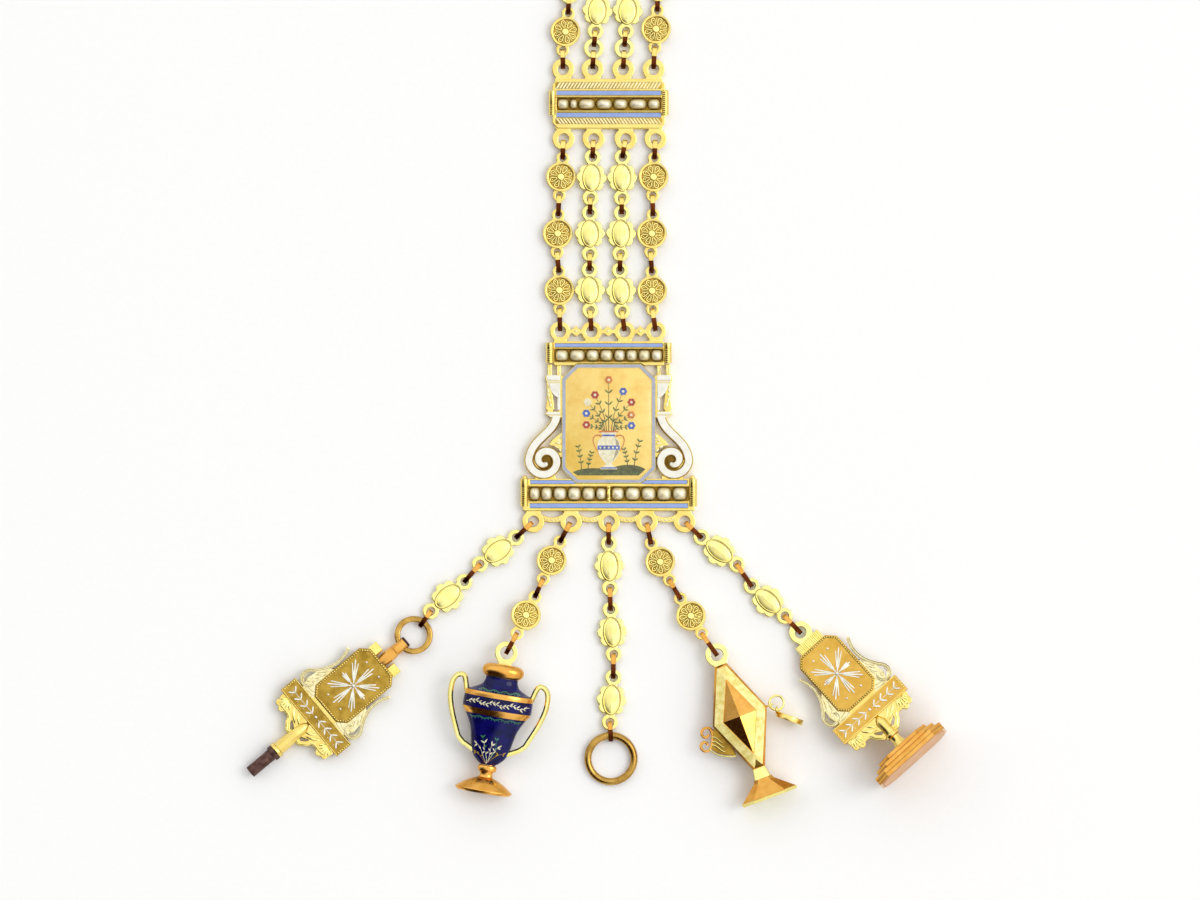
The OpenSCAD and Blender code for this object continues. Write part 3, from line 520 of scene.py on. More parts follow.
def metalFinish(name, light, deep, roughness, wear=0.1, scratch=0.15, blotch=2.0, matt=0.0):
    # Gold alloy: light and deep are the two tones it wanders between over blotch mm. matt frosts the surface.
    # The fine tooling left on it is drawn coarser than the real 0.05 mm, so that it shows.
    tree, spot = newMaterial(name)
    colour = rampOf(tree, noiseOf(tree, spot, blotch, 3.0, 0.55), (0.3, deep), (0.62, light))
    tooling = noiseOf(tree, spot, grain["tooling"], 2.0)
    rough = rangeOf(tree, tooling, 0.3, 0.7, roughness - wear / 2, roughness + wear / 2)
    height = tooling
    if matt > 0:
        frost = noiseOf(tree, spot, grain["frost"], 1.0)
        sums = {"operation": "MULTIPLY_ADD", 1: matt}
        height = addNode(tree, "ShaderNodeMath", sums, {0: frost, 2: tooling}).outputs[0]
    bump = bumpOf(tree, height, scratch, grain["scratch"])
    finishMaterial(tree, {"Metallic": 1.0}, {"Base Color": colour, "Roughness": rough, "Normal": bump})


def glassFinish(name, light, deep, roughness=0.16, blotch=1.2, coat=0.5, gloss=0.5):
    # Vitreous enamel, fired glass on gold: an even colour with slight clouding, and a wet, slightly wavy gloss.
    # gloss below 0.5 is a surface dulled by fine wear.
    tree, spot = newMaterial(name)
    colour = rampOf(tree, noiseOf(tree, spot, blotch, 4.0, 0.6), (0.32, deep), (0.6, light))
    wave = bumpOf(tree, noiseOf(tree, spot, grain["wave"], 1.0), 0.12, grain["waveHeight"])
    finishMaterial(tree, {"Roughness": roughness, "IOR": 1.52, "Specular IOR Level": gloss, "Coat Weight": coat,
                          "Coat Roughness": 0.06}, {"Base Color": colour, "Normal": wave})


# polished yellow gold, rolled sheet pierced and burnished: pale where it faces the light
metalFinish("polishedYellowGold", "#f8e185", "#f1d16f", 0.24, scratch=0.2)
# the same sheet where the punch has worn it bright: paler and slightly sharper
metalFinish("burnishedPaleGold", "#fff4a0", "#fbea8a", 0.24, wear=0.08)
# redder gold of the bent strip loops, drawn and polished, near mirror: its colour is painted shade, dark red-brown for
# the dark reflections along each strip's lower part
metalFinish("redGoldStrip", "#703616", "#43200c", 0.2, wear=0.08)
# cast and turned orange gold of feet, rims and collars, buffed: soft mirror
metalFinish("buffedOrangeGold", "#ebb25a", "#dc9d44", 0.2, scratch=0.2)
# drawn wire of the two large rings, dulled by wear: browner than the rest
metalFinish("wornRingGold", "#c8a050", "#a57c38", 0.24, wear=0.14, scratch=0.3)
# frosted gold grounds, matted with a fine punch: no mirror, brownish
metalFinish("mattedOldGold", "#caa648", "#a4822e", 0.5, wear=0.16, scratch=0.6, matt=0.9, blotch=1.6)
metalFinish("mattedOrangeGold", "#e8bd5a", "#d9a946", 0.46, wear=0.14, scratch=0.5, matt=0.9, blotch=2.4)
# bright cuts of the graver, coloured near white: a painted glint of the light on their facets
metalFinish("brightCutGold", "#f0eee0", "#dad7c8", 0.24, wear=0.06, scratch=0.1)
# engraved green gold: pale and busy
metalFinish("engravedGreenGold", "#fbf1c0", "#eadb98", 0.34, wear=0.2, scratch=0.5, matt=0.5, blotch=0.8)
# greenish gold dotted with a ring punch: olive, with bright dots
metalFinish("punchedGreenGold", "#f6e9a2", "#dcc865", 0.34, wear=0.16, scratch=0.3, matt=0.3, blotch=1.0)
# gold at the bottom of pierced and chased work and of the pearl channels, rougher where the polish never reached; its
# darker colour is painted shade there and on the handle leaf in the lozenge's shadow. The watch ring's dark seam uses
# it too
metalFinish("unpolishedRecessGold", "#b48e36", "#80601e", 0.42, wear=0.2, scratch=0.4)
# dark olive-brown gold: painted shade on the floor of the volutes' eyes, where the openwork shows only shade; also the
# engraved lines and the lozenge's stud
metalFinish("tarnishedSeatGold", "#8c6c2a", "#5f4517", 0.5, wear=0.2, scratch=0.4)
# browned iron of the key's pipe, forged and filed; on the collar's bevelled far end its darkness also stands in as
# painted shade for the hollow
metalFinish("brownedIron", "#6a5048", "#3e2b26", 0.44, wear=0.2, scratch=0.6, matt=0.4, blotch=1.4)

# opaque and clear enamels, fired and polished
glassFinish("paleBlueEnamel", "#92abe4", "#88a2dc", 0.22)
glassFinish("whiteEnamel", "#f8f6e8", "#edead8", 0.2)
glassFinish("greyLilacEnamel", "#aeb1c2", "#a1a5b8", 0.24)
glassFinish("cobaltEnamel", "#0d0c5c", "#050530", 0.1, blotch=2.2, coat=0.0, gloss=0.22)
glassFinish("greenEnamelDots", "#2f7d5c", "#175a44")
# the panel's painting, enamel colours fired on a yellow ground
glassFinish("yellowEnamelGround", "#fbd974", "#f0c152", 0.2, blotch=3.0)
for name, light, deep in (("creamPaint", "#f3eccb", "#d9d0a4"), ("shadePaint", "#b7ab84", "#93896a"),
                          ("bluePaint", "#5570c4", "#3b4f96"), ("orangePaint", "#d98436", "#b5621f"),
                          ("redPaint", "#b93a26", "#8c2617"), ("leafGreenPaint", "#5f7a34", "#3d5722"),
                          ("moundGreenPaint", "#5d6128", "#3a3c17"), ("darkStemPaint", "#5a4a22", "#3a2f14")):
    glassFinish(name, light, deep, 0.24, blotch=0.8)


def stoneFinish():
    # rose quartz or chalcedony of the seal: a clouded, slightly milky stone with a ground and polished face
    tree, spot = newMaterial("roseHardstone")
    colour = rampOf(tree, noiseOf(tree, spot, 3.0, 4.0, 0.6), (0.3, "#cc9561"), (0.65, "#dfac79"))
    finishMaterial(tree, {"Roughness": 0.42, "IOR": 1.54, "Specular IOR Level": 0.25, "Subsurface Weight": 0.2,
                          "Subsurface Scale": 0.6 * mm}, {"Base Color": colour})


def pearlFinish():
    # natural half pearls: nacre, cream, painted olive from below as the reflection of their gold seats and the shade
    # there. The value of Metallic stands for its thin layers, which mirror far more than plain glass does: a soft broad
    # shine.
    tree, spot = newMaterial("creamNacrePearl")
    cream = rampOf(tree, noiseOf(tree, spot, 1.6, 2.0), (0.3, "#f0e2b0"), (0.65, "#fbf4da"))
    # painted reflection and shade: the pearls turn olive from their seats upwards, fading to cream by their tops
    rise = addNode(tree, "ShaderNodeSeparateXYZ", links={"Vector": spot}).outputs["Z"]
    seat = rangeOf(tree, rise, 1.2 * mm, 2.2 * mm, 1.0, 0.0)
    finishMaterial(tree, {"Roughness": 0.26, "IOR": 1.53, "Metallic": 0.35, "Coat Weight": 0.8,
                          "Coat Roughness": 0.12}, {"Base Color": mixOf(tree, seat, cream, "#a58b34")})


stoneFinish()
pearlFinish()
print("materials made:", len(materials))


# pieces


def makeMesh(name, parts, sharp=34):
    # parts are pairs of a material's name and a shape, with a third value where the shape is cut in flat facets
    points, faces, slots, names, flatFaces = [], [], [], [], []
    start = 0
    for materialName, (partPoints, partFaces), *faceted in parts:
        if faceted:
            flatFaces += range(len(faces), len(faces) + len(partFaces))
        if materialName not in names:
            names.append(materialName)
        points.append(partPoints)
        faces += [tuple(i + start for i in face) for face in partFaces]
        slots += [names.index(materialName)] * len(partFaces)
        start += len(partPoints)
    mesh = bpy.data.meshes.new(name)
    mesh.from_pydata((np.concatenate(points) * mm).tolist(), [], faces)
    mesh.polygons.foreach_set("material_index", slots)
    for materialName in names:
        mesh.materials.append(materials[materialName])
    mesh.shade_smooth()
    mesh.set_sharp_from_angle(angle=math.radians(sharp))
    for k in flatFaces:
        mesh.polygons[k].use_smooth = False
    mesh.validate()
    return mesh


def makePiece(name, body, replaced, mesh, place=None):
    # replaced names the CAD nodes whose place it takes; mesh is a mesh, or the parts to make one of
    if not isinstance(mesh, bpy.types.Mesh):
        mesh = makeMesh(name, mesh)
        if place is not None:
            mesh.transform(place)   # the mesh itself is put in place, so that its box is true
            place = None
    piece = bpy.data.objects.new(name, mesh)
    bpy.context.scene.collection.objects.link(piece)
    if place is not None:
        piece.matrix_world = place
    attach(piece, body)
    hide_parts(*replaced)


def placeMatrix(x, y, z, turn=0.0, tip=0.0):
    # where a piece goes, its place in mm and its angles in degrees
    return (Matrix.Translation(Vector((x, y, z)) * mm) @ Matrix.Rotation(math.radians(turn), 4, "Z")
            @ Matrix.Rotation(math.radians(-tip), 4, "Y"))


def nodePoints(name):
    return np.array([v.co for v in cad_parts[name].data.vertices]) / mm


def frameOf(points):
    # middle of a link's points, its long axis, and the ways across it and up from it
    axis = np.linalg.svd(points - points.mean(0), full_matrices=False)[2][0]
    axis = axis if axis[1] > 0 else -axis
    across = np.cross(axis, [0, 0, 1.0])
    across /= np.linalg.norm(across)
    return (points.min(0) + points.max(0)) / 2, axis, across, np.cross(across, axis)


def looseParts(name):
    # points of each separate solid of a node
    spots, index = np.unique(np.round(nodePoints(name), 3), axis=0, return_inverse=True)
    index = index.reshape(-1)
    owner = list(range(len(spots)))

    def root(i):
        while owner[i] != i:
            owner[i] = owner[owner[i]]
            i = owner[i]
        return i
    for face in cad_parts[name].data.polygons:
        corners = [root(index[v]) for v in face.vertices]
        for other in corners[1:]:
            owner[root(other)] = root(corners[0])
    roots = np.array([root(i) for i in range(len(spots))])
    return [spots[roots == r] for r in np.unique(roots)]


# the round links, a pierced and chased rose in a rim

roundLink = {"radius": 2.7, "pitch": 6.7, "eye": 1.17, "hole": 0.64, "thick": 0.65, "rim": 0.52, "rimTop": 0.7,
             "petals": 8, "petalFrom": 0.72, "petalTo": 2.02, "petalWidth": 0.74, "wire": 0.13, "boss": 0.62,
             "bossTop": 0.62, "stemFrom": 1.15}


def linkOutline(p, scale, middle, blend, box, step=0.09):
    # a link's middle with an eye at each end; scale stretches the distance between them
    ends = [(0, s * scale * p["pitch"] / 2) for s in (-1, 1)]
    eyes, holes = ([disc(*end, p[size]) for end in ends] for size in ("eye", "hole"))
    return outlinesOf(without(merged(middle, *eyes, blend=blend), *holes), box, step)


def roundLinkParts(scale):
    p = roundLink
    radius, top, half = p["radius"], p["thick"] / 2, p["petalWidth"] / 2
    outline = linkOutline(p, scale, disc(0, 0, radius), 0.35, (-3.2, -5.2, 3.2, 5.2))
    w, h = p["rim"] / 2, p["rimTop"] - top + 0.05
    rimSection = [[-w, 0], [w, 0], [w, h * 0.5], [w * 0.78, h * 0.94], [w * 0.62, h], [-w * 0.55, h],
                  [-w * 0.78, h * 0.9], [-w, h * 0.4]]
    rim = moved(sweep(circlePoints(0, 0, radius - w - 0.02, 56), rimSection, closed=True), z=top - 0.05)
    floorRadius = radius - p["rim"] - 0.02
    ground = plate(circlePoints(0, 0, floorRadius + 0.06, 40), top - 0.03, top + 0.02, 0.01)
    reach = p["petalTo"] - half
    tip = arcPoints((reach, 0), half, half, -90, 90, 7)
    path = np.concatenate([[[p["petalFrom"], -0.1]], tip, [[p["petalFrom"], 0.1]]])
    petal = joined(tube(atHeight(path, top + 0.13), p["wire"], sides=6), bead(reach - 0.02, 0, top, 0.15, 0.17, 6))
    stem = cutMark((p["stemFrom"], 0), (floorRadius, 0), 0.16, top, 0.2)   # short stem between each two petals
    relief = [plate(circlePoints(0, 0, p["boss"], 20), top, p["bossTop"], 0.12, 0.0, 3)]
    for k in range(p["petals"]):
        a = 360 * k / p["petals"] + 22.5
        relief += [moved(petal, turn=a), moved(stem, turn=a + 180 / p["petals"])]
    return [("polishedYellowGold", joined(plate(outline, -top, top, 0.1), rim)),
            ("mattedOldGold", ground), ("burnishedPaleGold", joined(*relief))]


# the oval links, a lobed plate with a plain oval boss like a low roof

ovalLink = {"width": 5.45, "length": 5.5, "lobes": 8, "lobe": 0.98, "pitch": 7.3, "eye": 1.46, "hole": 0.71,
            "thick": 0.65, "frame": [1.6, 2.48], "boss": [1.36, 2.22], "bossTop": 0.46}
# boss of two flat slopes that meet in a ridge along its middle: one side always catches less light
bossRows = [(1, 1, 0), (0.97, 0.985, 0.2), (0.92, 0.96, 0.32), (0.48, 0.73, 0.66), (0.14, 0.552, 0.923),
            (0.03, 0.5, 0.99), (0.005, 0.47, 1)]


def ovalLinkParts(scale):
    p = ovalLink
    top, lobe = p["thick"] / 2, p["lobe"]
    lobes = [disc((p["width"] / 2 - lobe) * math.cos(a), (scale * p["length"] / 2 - lobe) * math.sin(a), lobe)
             for a in np.radians(90 + 360 * np.arange(p["lobes"]) / p["lobes"])]
    middle = merged(*lobes, disc(0, 0, p["width"] / 2 - 0.5))
    outline = linkOutline(p, scale, middle, 0.12, (-3.3, -6.0, 3.3, 6.0), 0.08)
    rx, ry = p["frame"][0], scale * p["frame"][1]
    # dark line round the boss: painted shade, as if it were a groove
    groove = raisedLine(ovalPoints(0, 0, rx, ry), top + 0.02, 0.1, 0.05, count=2, closed=True)
    line = raisedLine(ovalPoints(0, 0, rx - 0.13, ry - 0.13), top, 0.2, 0.16, closed=True)
    bossLine = ovalPoints(0, 0, p["boss"][0], scale * p["boss"][1], 44)
    boss = dome(bossLine, top - 0.02, p["bossTop"], rows=bossRows)
    return [("burnishedPaleGold", joined(plate(outline, -top, top, 0.16, steps=3), line, boss)),
            ("unpolishedRecessGold", groove)]


def linkPlace(name, thick):
    # where a link goes, from the box of its CAD node
    points = nodePoints(name)
    middle, axis, across, normal = frameOf(points)
    middle = middle + normal * (np.min((points - middle) @ normal) + thick / 2)
    ways = np.stack([across, axis, normal], 1)
    return Matrix([[*row, at * mm] for row, at in zip(ways, middle)] + [[0, 0, 0, 1]])


def makeLinks():
    meshes = {}
    for name in sorted(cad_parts):
        if "_link" not in name:
            continue
        inDrop = name.startswith("drop")
        outer = name[:7] in ("strand1", "strand4") or name[:6] in ("drop_b", "drop_d")
        if (outer, inDrop) not in meshes:
            parts = (roundLinkParts if outer else ovalLinkParts)(1.1 if inDrop else 1.0)
            kind = ("roundLink" if outer else "ovalLink") + ("Drop" if inDrop else "Strand")
            meshes[outer, inDrop] = makeMesh(kind, parts)
        thick = (roundLink if outer else ovalLink)["thick"]
        makePiece("gold_" + name, "chain", [name], meshes[outer, inDrop], linkPlace(name, thick))


makeLinks()
print("links made")

# the loops bent from flat strip, and the flat jump rings

# paintedShadeEnd: share of a strip's half length, from its middle towards its upper end, past which it is plain gold
# and no longer painted shade
stripLoop = {"width": 0.84, "thick": 0.26, "bevel": 0.07, "arch": 2.1, "crest": 0.45, "points": 60, "paintedShadeEnd": 0.16,
             "ringBevel": 0.14, "ringHeight": 0.8}


def makeLoops():
    p = stripLoop
    for name in sorted(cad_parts):
        if not name.endswith("_loops"):
            continue
        bands, rings, paintedShadeEnd = [], [], []
        for points in looseParts(name):
            size = points.max(0) - points.min(0)
            middle, axis, across, normal = frameOf(points)
            if size[2] < p["ringHeight"]:   # a flat ring, lower than any loop
                outer, inner = size[0] / 2, np.min(np.hypot(*(points - middle)[:, :2].T))
                edge = outer + 0.3
                ring = outlinesOf(without(disc(0, 0, outer), disc(0, 0, inner)), (-edge, -edge, edge, edge))
                rings.append(moved(plate(ring, -size[2] / 2, size[2] / 2, p["ringBevel"], steps=3), *middle))
                continue
            reach, tall = np.ptp(points @ axis) / 2, np.ptp(points @ normal) / 2
            curve = ovalPoints(0, 0, 1, tall - p["thick"] / 2, p["points"], p["arch"])
            # the highest place lies nearer the upper end, where the strip comes over the rim of the eye
            share = np.where(curve[:, 0] > 0, 1 - p["crest"], 1 + p["crest"])
            curve[:, 0] = (p["crest"] + share * curve[:, 0]) * (reach - p["thick"] / 2)
            curve = evenly(curve, 0.16)
            path = middle + curve[:, :1] * axis + curve[:, 1:] * normal
            section = boxPoints(0, 0, p["width"], p["thick"], p["bevel"])
            bands.append(sweep(path, section, True, up=np.cross(along(path, True), across)))
            paintedShadeEnd.append((middle, axis, reach))
        # every strip starts in the dark red-brown of painted shade; its upper end is set to plain gold below
        parts = [("redGoldStrip", joined(*bands))]
        if rings:
            parts.append(("burnishedPaleGold", joined(*rings)))
        mesh = makeMesh(name + "Mesh", parts)
        # each strip is plain gold where it runs over the rim of the upper eye; the rest keeps the dark colour of
        # painted shade
        mesh.materials.append(materials["buffedOrangeGold" if name.startswith("drop") else "polishedYellowGold"])
        middles, axes, reaches = (np.array(column) for column in zip(*paintedShadeEnd))
        for face in mesh.polygons:
            if face.material_index == 0:
                away = np.array(face.center) / mm - middles
                k = np.argmin(np.linalg.norm(away, axis=1))
                if away[k] @ axes[k] > p["paintedShadeEnd"] * reaches[k]:
                    face.material_index = len(mesh.materials) - 1
        makePiece("gold_" + name, "chain", [name], mesh)


makeLoops()
print("loops made")

# the small bar: blue strips, hatched bands and a row of half pearls

smallBar = {"y": 57.5, "halfWidth": 10.15, "height": 8.8, "corner": 0.9, "top": 1.3, "channel": [18.8, 2.1, 0.5],
            "strip": [18.8, 0.8, 0.9, 1.98], "stripTop": 1.4, "rail": [0.42, 1.31, 0.42, 1.26],
            "hatch": [[60.85, 1.3, 1], [54.45, 1.15, -1]], "hatchStep": 0.6, "roll": [57.7, 1.25, 0.65, 4.5],
            "topEyes": [[-8.2, -2.9, 2.6, 8.05], 63.7, 2.0, 0.97],
            "lowEyes": [[-8.15, -2.75, 3.0, 8.4], 51.2, 2.0, 0.97],
            "pearls": [2.3, 1.5, 3.2, 3.1, 2.8, 3.4, 2.4], "pearlTop": 2.1, "pearlHalf": 1.02}
eyeHeights = [0.505, 1.155]   # the links' own height above the table, for every eye that holds their loops


def eyeRow(eyes, edge, box, blend, extra=(), step=0.11):
    # row of flat rings that grow out of an edge strip
    xs, y, outer, hole = eyes
    solid = merged(slab(*edge), *[disc(x, y, outer) for x in xs], *extra, blend=blend)
    return plate(outlinesOf(without(solid, *[disc(x, y, hole) for x in xs]), box, step), *eyeHeights, 0.12)


def ribbedRoll(x, y, z, radius, length, ribs, plain=0.0):
    # small roll along Y, turned with ribs; plain is the share of its length left smooth
    run = length * plain
    rows = [[0, radius * 0.86], [0.08, radius]] + ([[run, radius]] if plain else [])
    step = (length - run - 0.16) / ribs
    for k in range(ribs):
        at = run + 0.08 + step * k
        rows += [[at + step * share, radius * r] for share, r in ((0.12, 0.94), (0.28, 0.995), (0.72, 1), (0.9, 0.96))]
    rows += [[length - 0.06, radius * 0.97], [length, radius * 0.85]]
    return moved(lathe(rows, 20), x, y + length / 2, z, turn=-90)


def pearlRow(widths, start, y, floor, top, halfHeight):
    # half pearls side by side, each squashed to its place in the channel
    shapes = []
    for width in widths:
        tall = min(halfHeight, width / 2 + 0.2)
        outline = ovalPoints(start + width / 2, y, width / 2 - 0.005, tall, 36, 3.2)
        shapes.append(dome(outline, floor, top, rings=9, fullness=0.9))
        start += width
    return joined(*shapes)


def hatchBand(y, height, halfWidth, z, step, lean):
    # engraved band: level leaning strokes with dark gaps between
    h, w, reach = height / 2 - 0.1, step * 0.31, 0.34 * lean
    cuts = [[[x - reach - w, y - h], [x - reach + w, y - h], [x + reach + w, y + h], [x + reach - w, y + h]]
            for x in np.arange(-halfWidth + 0.6, halfWidth - 0.5, step)]
    return joined(*[plate(cut, z, z + 0.07, 0.02, 0.0, 1) for cut in cuts])


def seatPlate(x, y, w, h, low, high, grow=0.1, bevel=0.02):
    # floor or filling of a channel, grown past its sides or, below 0, kept off them
    return plate(boxPoints(x, y, w + grow, h + grow), low, high, bevel)


def makeSmallBar():
    p = smallBar
    y, top = p["y"], p["top"]
    cw, ch, floor = p["channel"]
    sw, sh, stripFloor, sy = p["strip"]
    railWidth, railY, railHeight, railZ = p["rail"]
    strips = [(0, y + s * sy, sw, sh) for s in (-1, 1)]
    field = without(inside(boxPoints(0, y, 2 * p["halfWidth"], p["height"], p["corner"])),
                    slab(0, y, cw, ch), *[slab(*strip) for strip in strips])
    body = [plate(outlinesOf(field, (-10.6, 52.6, 10.6, 62.4)), 0, top, 0.14)]
    body += [seatPlate(*strip, 0.2, stripFloor) for strip in strips]
    for s, eyes, box in ((-1, p["lowEyes"], (-10.8, 48.8, 10.8, 54.9)), (1, p["topEyes"], (-10.8, 60.2, 10.8, 66.2))):
        body.append(eyeRow(eyes, (0, y + s * (p["height"] / 2 - 0.55), 19.4, 1.4), box, 0.25))
        lines = [(railY, railZ, railWidth, railHeight, 6), (sy - sh / 2 - 0.04, top - 0.02, 0.12, 0.12, 4),
                 (sy + sh / 2 + 0.06, top - 0.02, 0.12, 0.12, 4)]
        body += [raisedLine([[-cw / 2, y + s * at], [cw / 2, y + s * at]], z, wide, tall, count=count)
                 for at, z, wide, tall, count in lines]
    body += [ribbedRoll(-p["halfWidth"], *p["roll"], 6, 0.55), ribbedRoll(p["halfWidth"], *p["roll"], 12)]
    ground, engraved = [], []
    for at, tall, lean in p["hatch"]:
        ground.append(plate(boxPoints(0, at, 19.2, tall, 0.25), top - 0.04, top + 0.02, 0.01))
        engraved.append(hatchBand(at, tall, 9.6, top + 0.015, p["hatchStep"], lean))
        engraved += [bead(x, at + s * (tall / 2 - 0.02), top, 0.09, 0.08, 6)
                     for s in (-1, 1) for x in np.arange(-9.5, 9.6, 0.36)]
    # the channel's floor is darkened as painted shade
    makePiece("smallBarFrame", "chain", ["bar_frame"],
              [("polishedYellowGold", joined(*body)), ("unpolishedRecessGold", seatPlate(0, y, cw, ch, 0.1, floor)),
               ("mattedOldGold", joined(*ground)), ("engravedGreenGold", joined(*engraved))])
    blue = [seatPlate(*strip, stripFloor + 0.02, p["stripTop"], -0.04, 0.06) for strip in strips]
    makePiece("smallBarEnamel", "chain", ["bar_enamel"], [("paleBlueEnamel", joined(*blue))])
    row = pearlRow(p["pearls"], -sum(p["pearls"]) / 2, y, floor + 0.02, p["pearlTop"], p["pearlHalf"])
    makePiece("smallBarPearls", "chain", ["bar_pearls"], [("creamNacrePearl", row)])


makeSmallBar()
print("small bar made")

# the plaque: picture panel between two pearl-set bars, with columns and scrolls

plaque = {"panel": [8.45, 10.75, 2.6], "panelTop": 1.1, "border": 0.72, "borderTop": 1.6, "barTop": 1.5,
          "topBar": [0, 12.65, 19.9, 4.4], "topChannel": [0, 12.3, 19.6, 2.3], "topStrip": [0, 14.1, 19.4, 0.65],
          "lowBar": [0, -12.8, 31.0, 5.8], "lowChannel": [0, -12.6, 28.8, 2.6], "lowStrip": [0, -14.75, 28.4, 0.8],
          "innerStrip": [10.1, -10.5, 8.0, 0.65], "stripFloor": 1.15, "channelFloor": 0.5, "stripTop": 1.6,
          "topEyes": [[-8.75, -3.1, 2.85, 8.45], 16.55, 1.85, 1.0],
          "lowEyes": [[6.8 * k for k in range(-2, 3)], -17.6, 2.0, 1.0],
          "rolls": [[10.6, 12.75, 3.7, 7], [15.15, -12.4, 5.0, 10]], "rollShape": [1.3, 0.75], "rollPlain": 0.3,
          "knobs": [[15.1, -9.75], [15.0, -15.2]], "knobShape": [0.5, 0.5, 1.1], "wall": [0.62, 2.66, 0.3, 1.5],
          "spacers": [-5.9, -0.15, 5.65], "swag": [1.9, 0.78, 0.1, 0.95], "swagHeights": [0.51, 1.15],
          "swagLeaves": [0.2, 0.32, 0.44, 0.56, 0.68, 0.8],
          "volute": [-11.45, -6.6], "scrollWidth": 1.72, "scrollEnamel": 1.3, "enamelTop": 1.52, "chasing": 1.06,
          "upperPearls": [2.6, 3.0, 2.5, 2.5, 2.2, 2.2, 2.3, 2.2], "upperTop": 2.2, "upperHalf": 1.13,
          "lowerPearls": [[2.1, 2.2, 2.6, 2.6, 2.5, 2.0], [2.5, 2.9, 2.8, 2.8, 2.8]], "lowerTop": 2.3,
          "lowerHalf": 1.28, "middleGap": 0.37}
scrollPath = np.concatenate([bezierPoints([-9.4, 1.3], [-9.9, -1.9], [-14.0, -2.6], [-14.4, -6.6], 16)[:-1],
                             arcPoints(plaque["volute"], 2.95, 0.72, 180, 640, 64)])
# the left column from its capital down, in gold, and the forms of white enamel on it with their top and bevel
columnForms = [[[-10.9, 7.8], [-8.2, 7.8], [-8.2, 4.0], [-9.2, 4.4], [-10.0, 5.6], [-10.6, 7.0]],
               [[-11.25, 7.8], [-10.4, 7.8], [-10.2, 6.0], [-10.05, 4.8], [-9.8, 2.6], [-10.6, 1.9], [-11.35, 2.6],
                [-11.1, 4.5]],
               [[-11.6, 1.75], [-11.0, 2.2], [-8.2, 2.2], [-8.2, 1.1], [-10.6, 1.1]],
               [[-9.3, -2.2], [-8.2, -1.4], [-8.2, -5.4], [-9.2, -4.2], [-10.8, -3.9], [-10.2, -3.0]]]
capitalCurve = bezierPoints([-10.72, 7.3], [-10.6, 5.9], [-9.9, 4.75], [-8.72, 4.6], 12)
whiteForms = [(boxPoints(-9.92, 8.24, 2.5, 0.98, 0.12), 1.52, 0.1),
              ([[-11.15, 7.62], [-8.72, 7.62], [-8.72, 7.42], [-10.9, 7.42]], 1.46, 0.05),
              (np.concatenate([capitalCurve, [[-8.72, 7.3]]]), 1.46, 0.08),
              (boxPoints(-8.98, 3.55, 0.5, 2.2), 1.44, 0.06),
              ([[-11.35, 1.78], [-10.95, 2.12], [-8.72, 2.12], [-8.72, 1.62], [-11.0, 1.62]], 1.52, 0.08),
              ([[-10.9, 1.5], [-8.72, 1.5], [-8.72, 1.12], [-10.3, 1.12]], 1.42, 0.06)]
# rows of small chased leaves down the column, and turned outline of the baluster between the lower pearls
leafLines = [[[-10.85, 7.3], [-10.95, 6.4], [-10.95, 5.5], [-10.85, 4.6], [-10.65, 3.7], [-10.4, 2.9]],
             [[-8.5, -1.9], [-8.8, -2.7], [-9.3, -3.3]], [[-8.4, -5.0], [-9.0, -4.3], [-9.9, -3.8]],
             [[-12.7, -9.72], [-12.0, -9.8], [-11.2, -9.8], [-10.4, -9.72]]]
balusterRows = [[-1.45, 0.42], [-1.2, 0.46], [-0.9, 0.26], [0, 0.36], [0.9, 0.26], [1.2, 0.46], [1.45, 0.42]]


def panelOutline(amount=0.0):
    wide, tall, corner = plaque["panel"]
    return boxPoints(0, 0, 2 * (wide - amount), 2 * (tall - amount), corner - amount * 0.55)


def barPlate(bar, cuts, box):
    field = without(slab(*bar, 0.12), inside(panelOutline(-0.02)), *[slab(*cut) for cut in cuts])
    return plate(outlinesOf(field, box), 0, plaque["barTop"], 0.14)


def channelRails(channel, gapAt=0.0):
    # thin gold rail along both sides of a pearl channel, broken at a gap
    y, w, h = channel[1:]
    spans = [(-w / 2, -gapAt), (gapAt, w / 2)] if gapAt else [(-w / 2, w / 2)]
    return [raisedLine([[a, y + s * (h / 2 + 0.11)], [b, y + s * (h / 2 + 0.11)]], plaque["barTop"] - 0.04, 0.24, 0.22)
            for s in (-1, 1) for a, b in spans]


def stripLines(x, y, w, h):
    # bright fillets that hold an enamel strip
    return [raisedLine([[x - w / 2, at], [x + w / 2, at]], plaque["barTop"] - 0.03, 0.12, 0.12)
            for at in (y - h / 2 - 0.05, y + h / 2 + 0.05)]


def scrollTaper(width):
    share = np.arange(len(scrollPath))
    return np.interp(share, [0, len(share) * 0.15, len(share) * 0.75, len(share) - 1],
                     [width * 1.05, width, width * 0.96, width * 0.6])


def columnGold():
    # left column and scroll, in gold: posts, abacus, capital, leafy outer strip, base slab, and the scroll's edges
    capital, strip, base, nook = (inside(form) for form in columnForms)
    field = merged(slab(-10.65, 9.5, 0.8, 2.4), slab(-9.0, 9.5, 0.75, 2.4), slab(-9.8, 8.15, 3.2, 1.0, 0.1),
                   capital, strip, slab(-8.6, 4.4, 0.8, 5.0), base, nook,
                   stroke([[-12.9, -9.75], [-9.9, -9.75]], 0.8), stroke([[-9.7, -5.6], [-8.5, -5.6]], 0.8),
                   disc(*plaque["volute"], 2.1), stroke(scrollPath, scrollTaper(plaque["scrollWidth"])), blend=0.12)
    return plate(outlinesOf(field, (-15.7, -10.6, -7.7, 11.0), 0.08), 0, 1.1, 0.1)


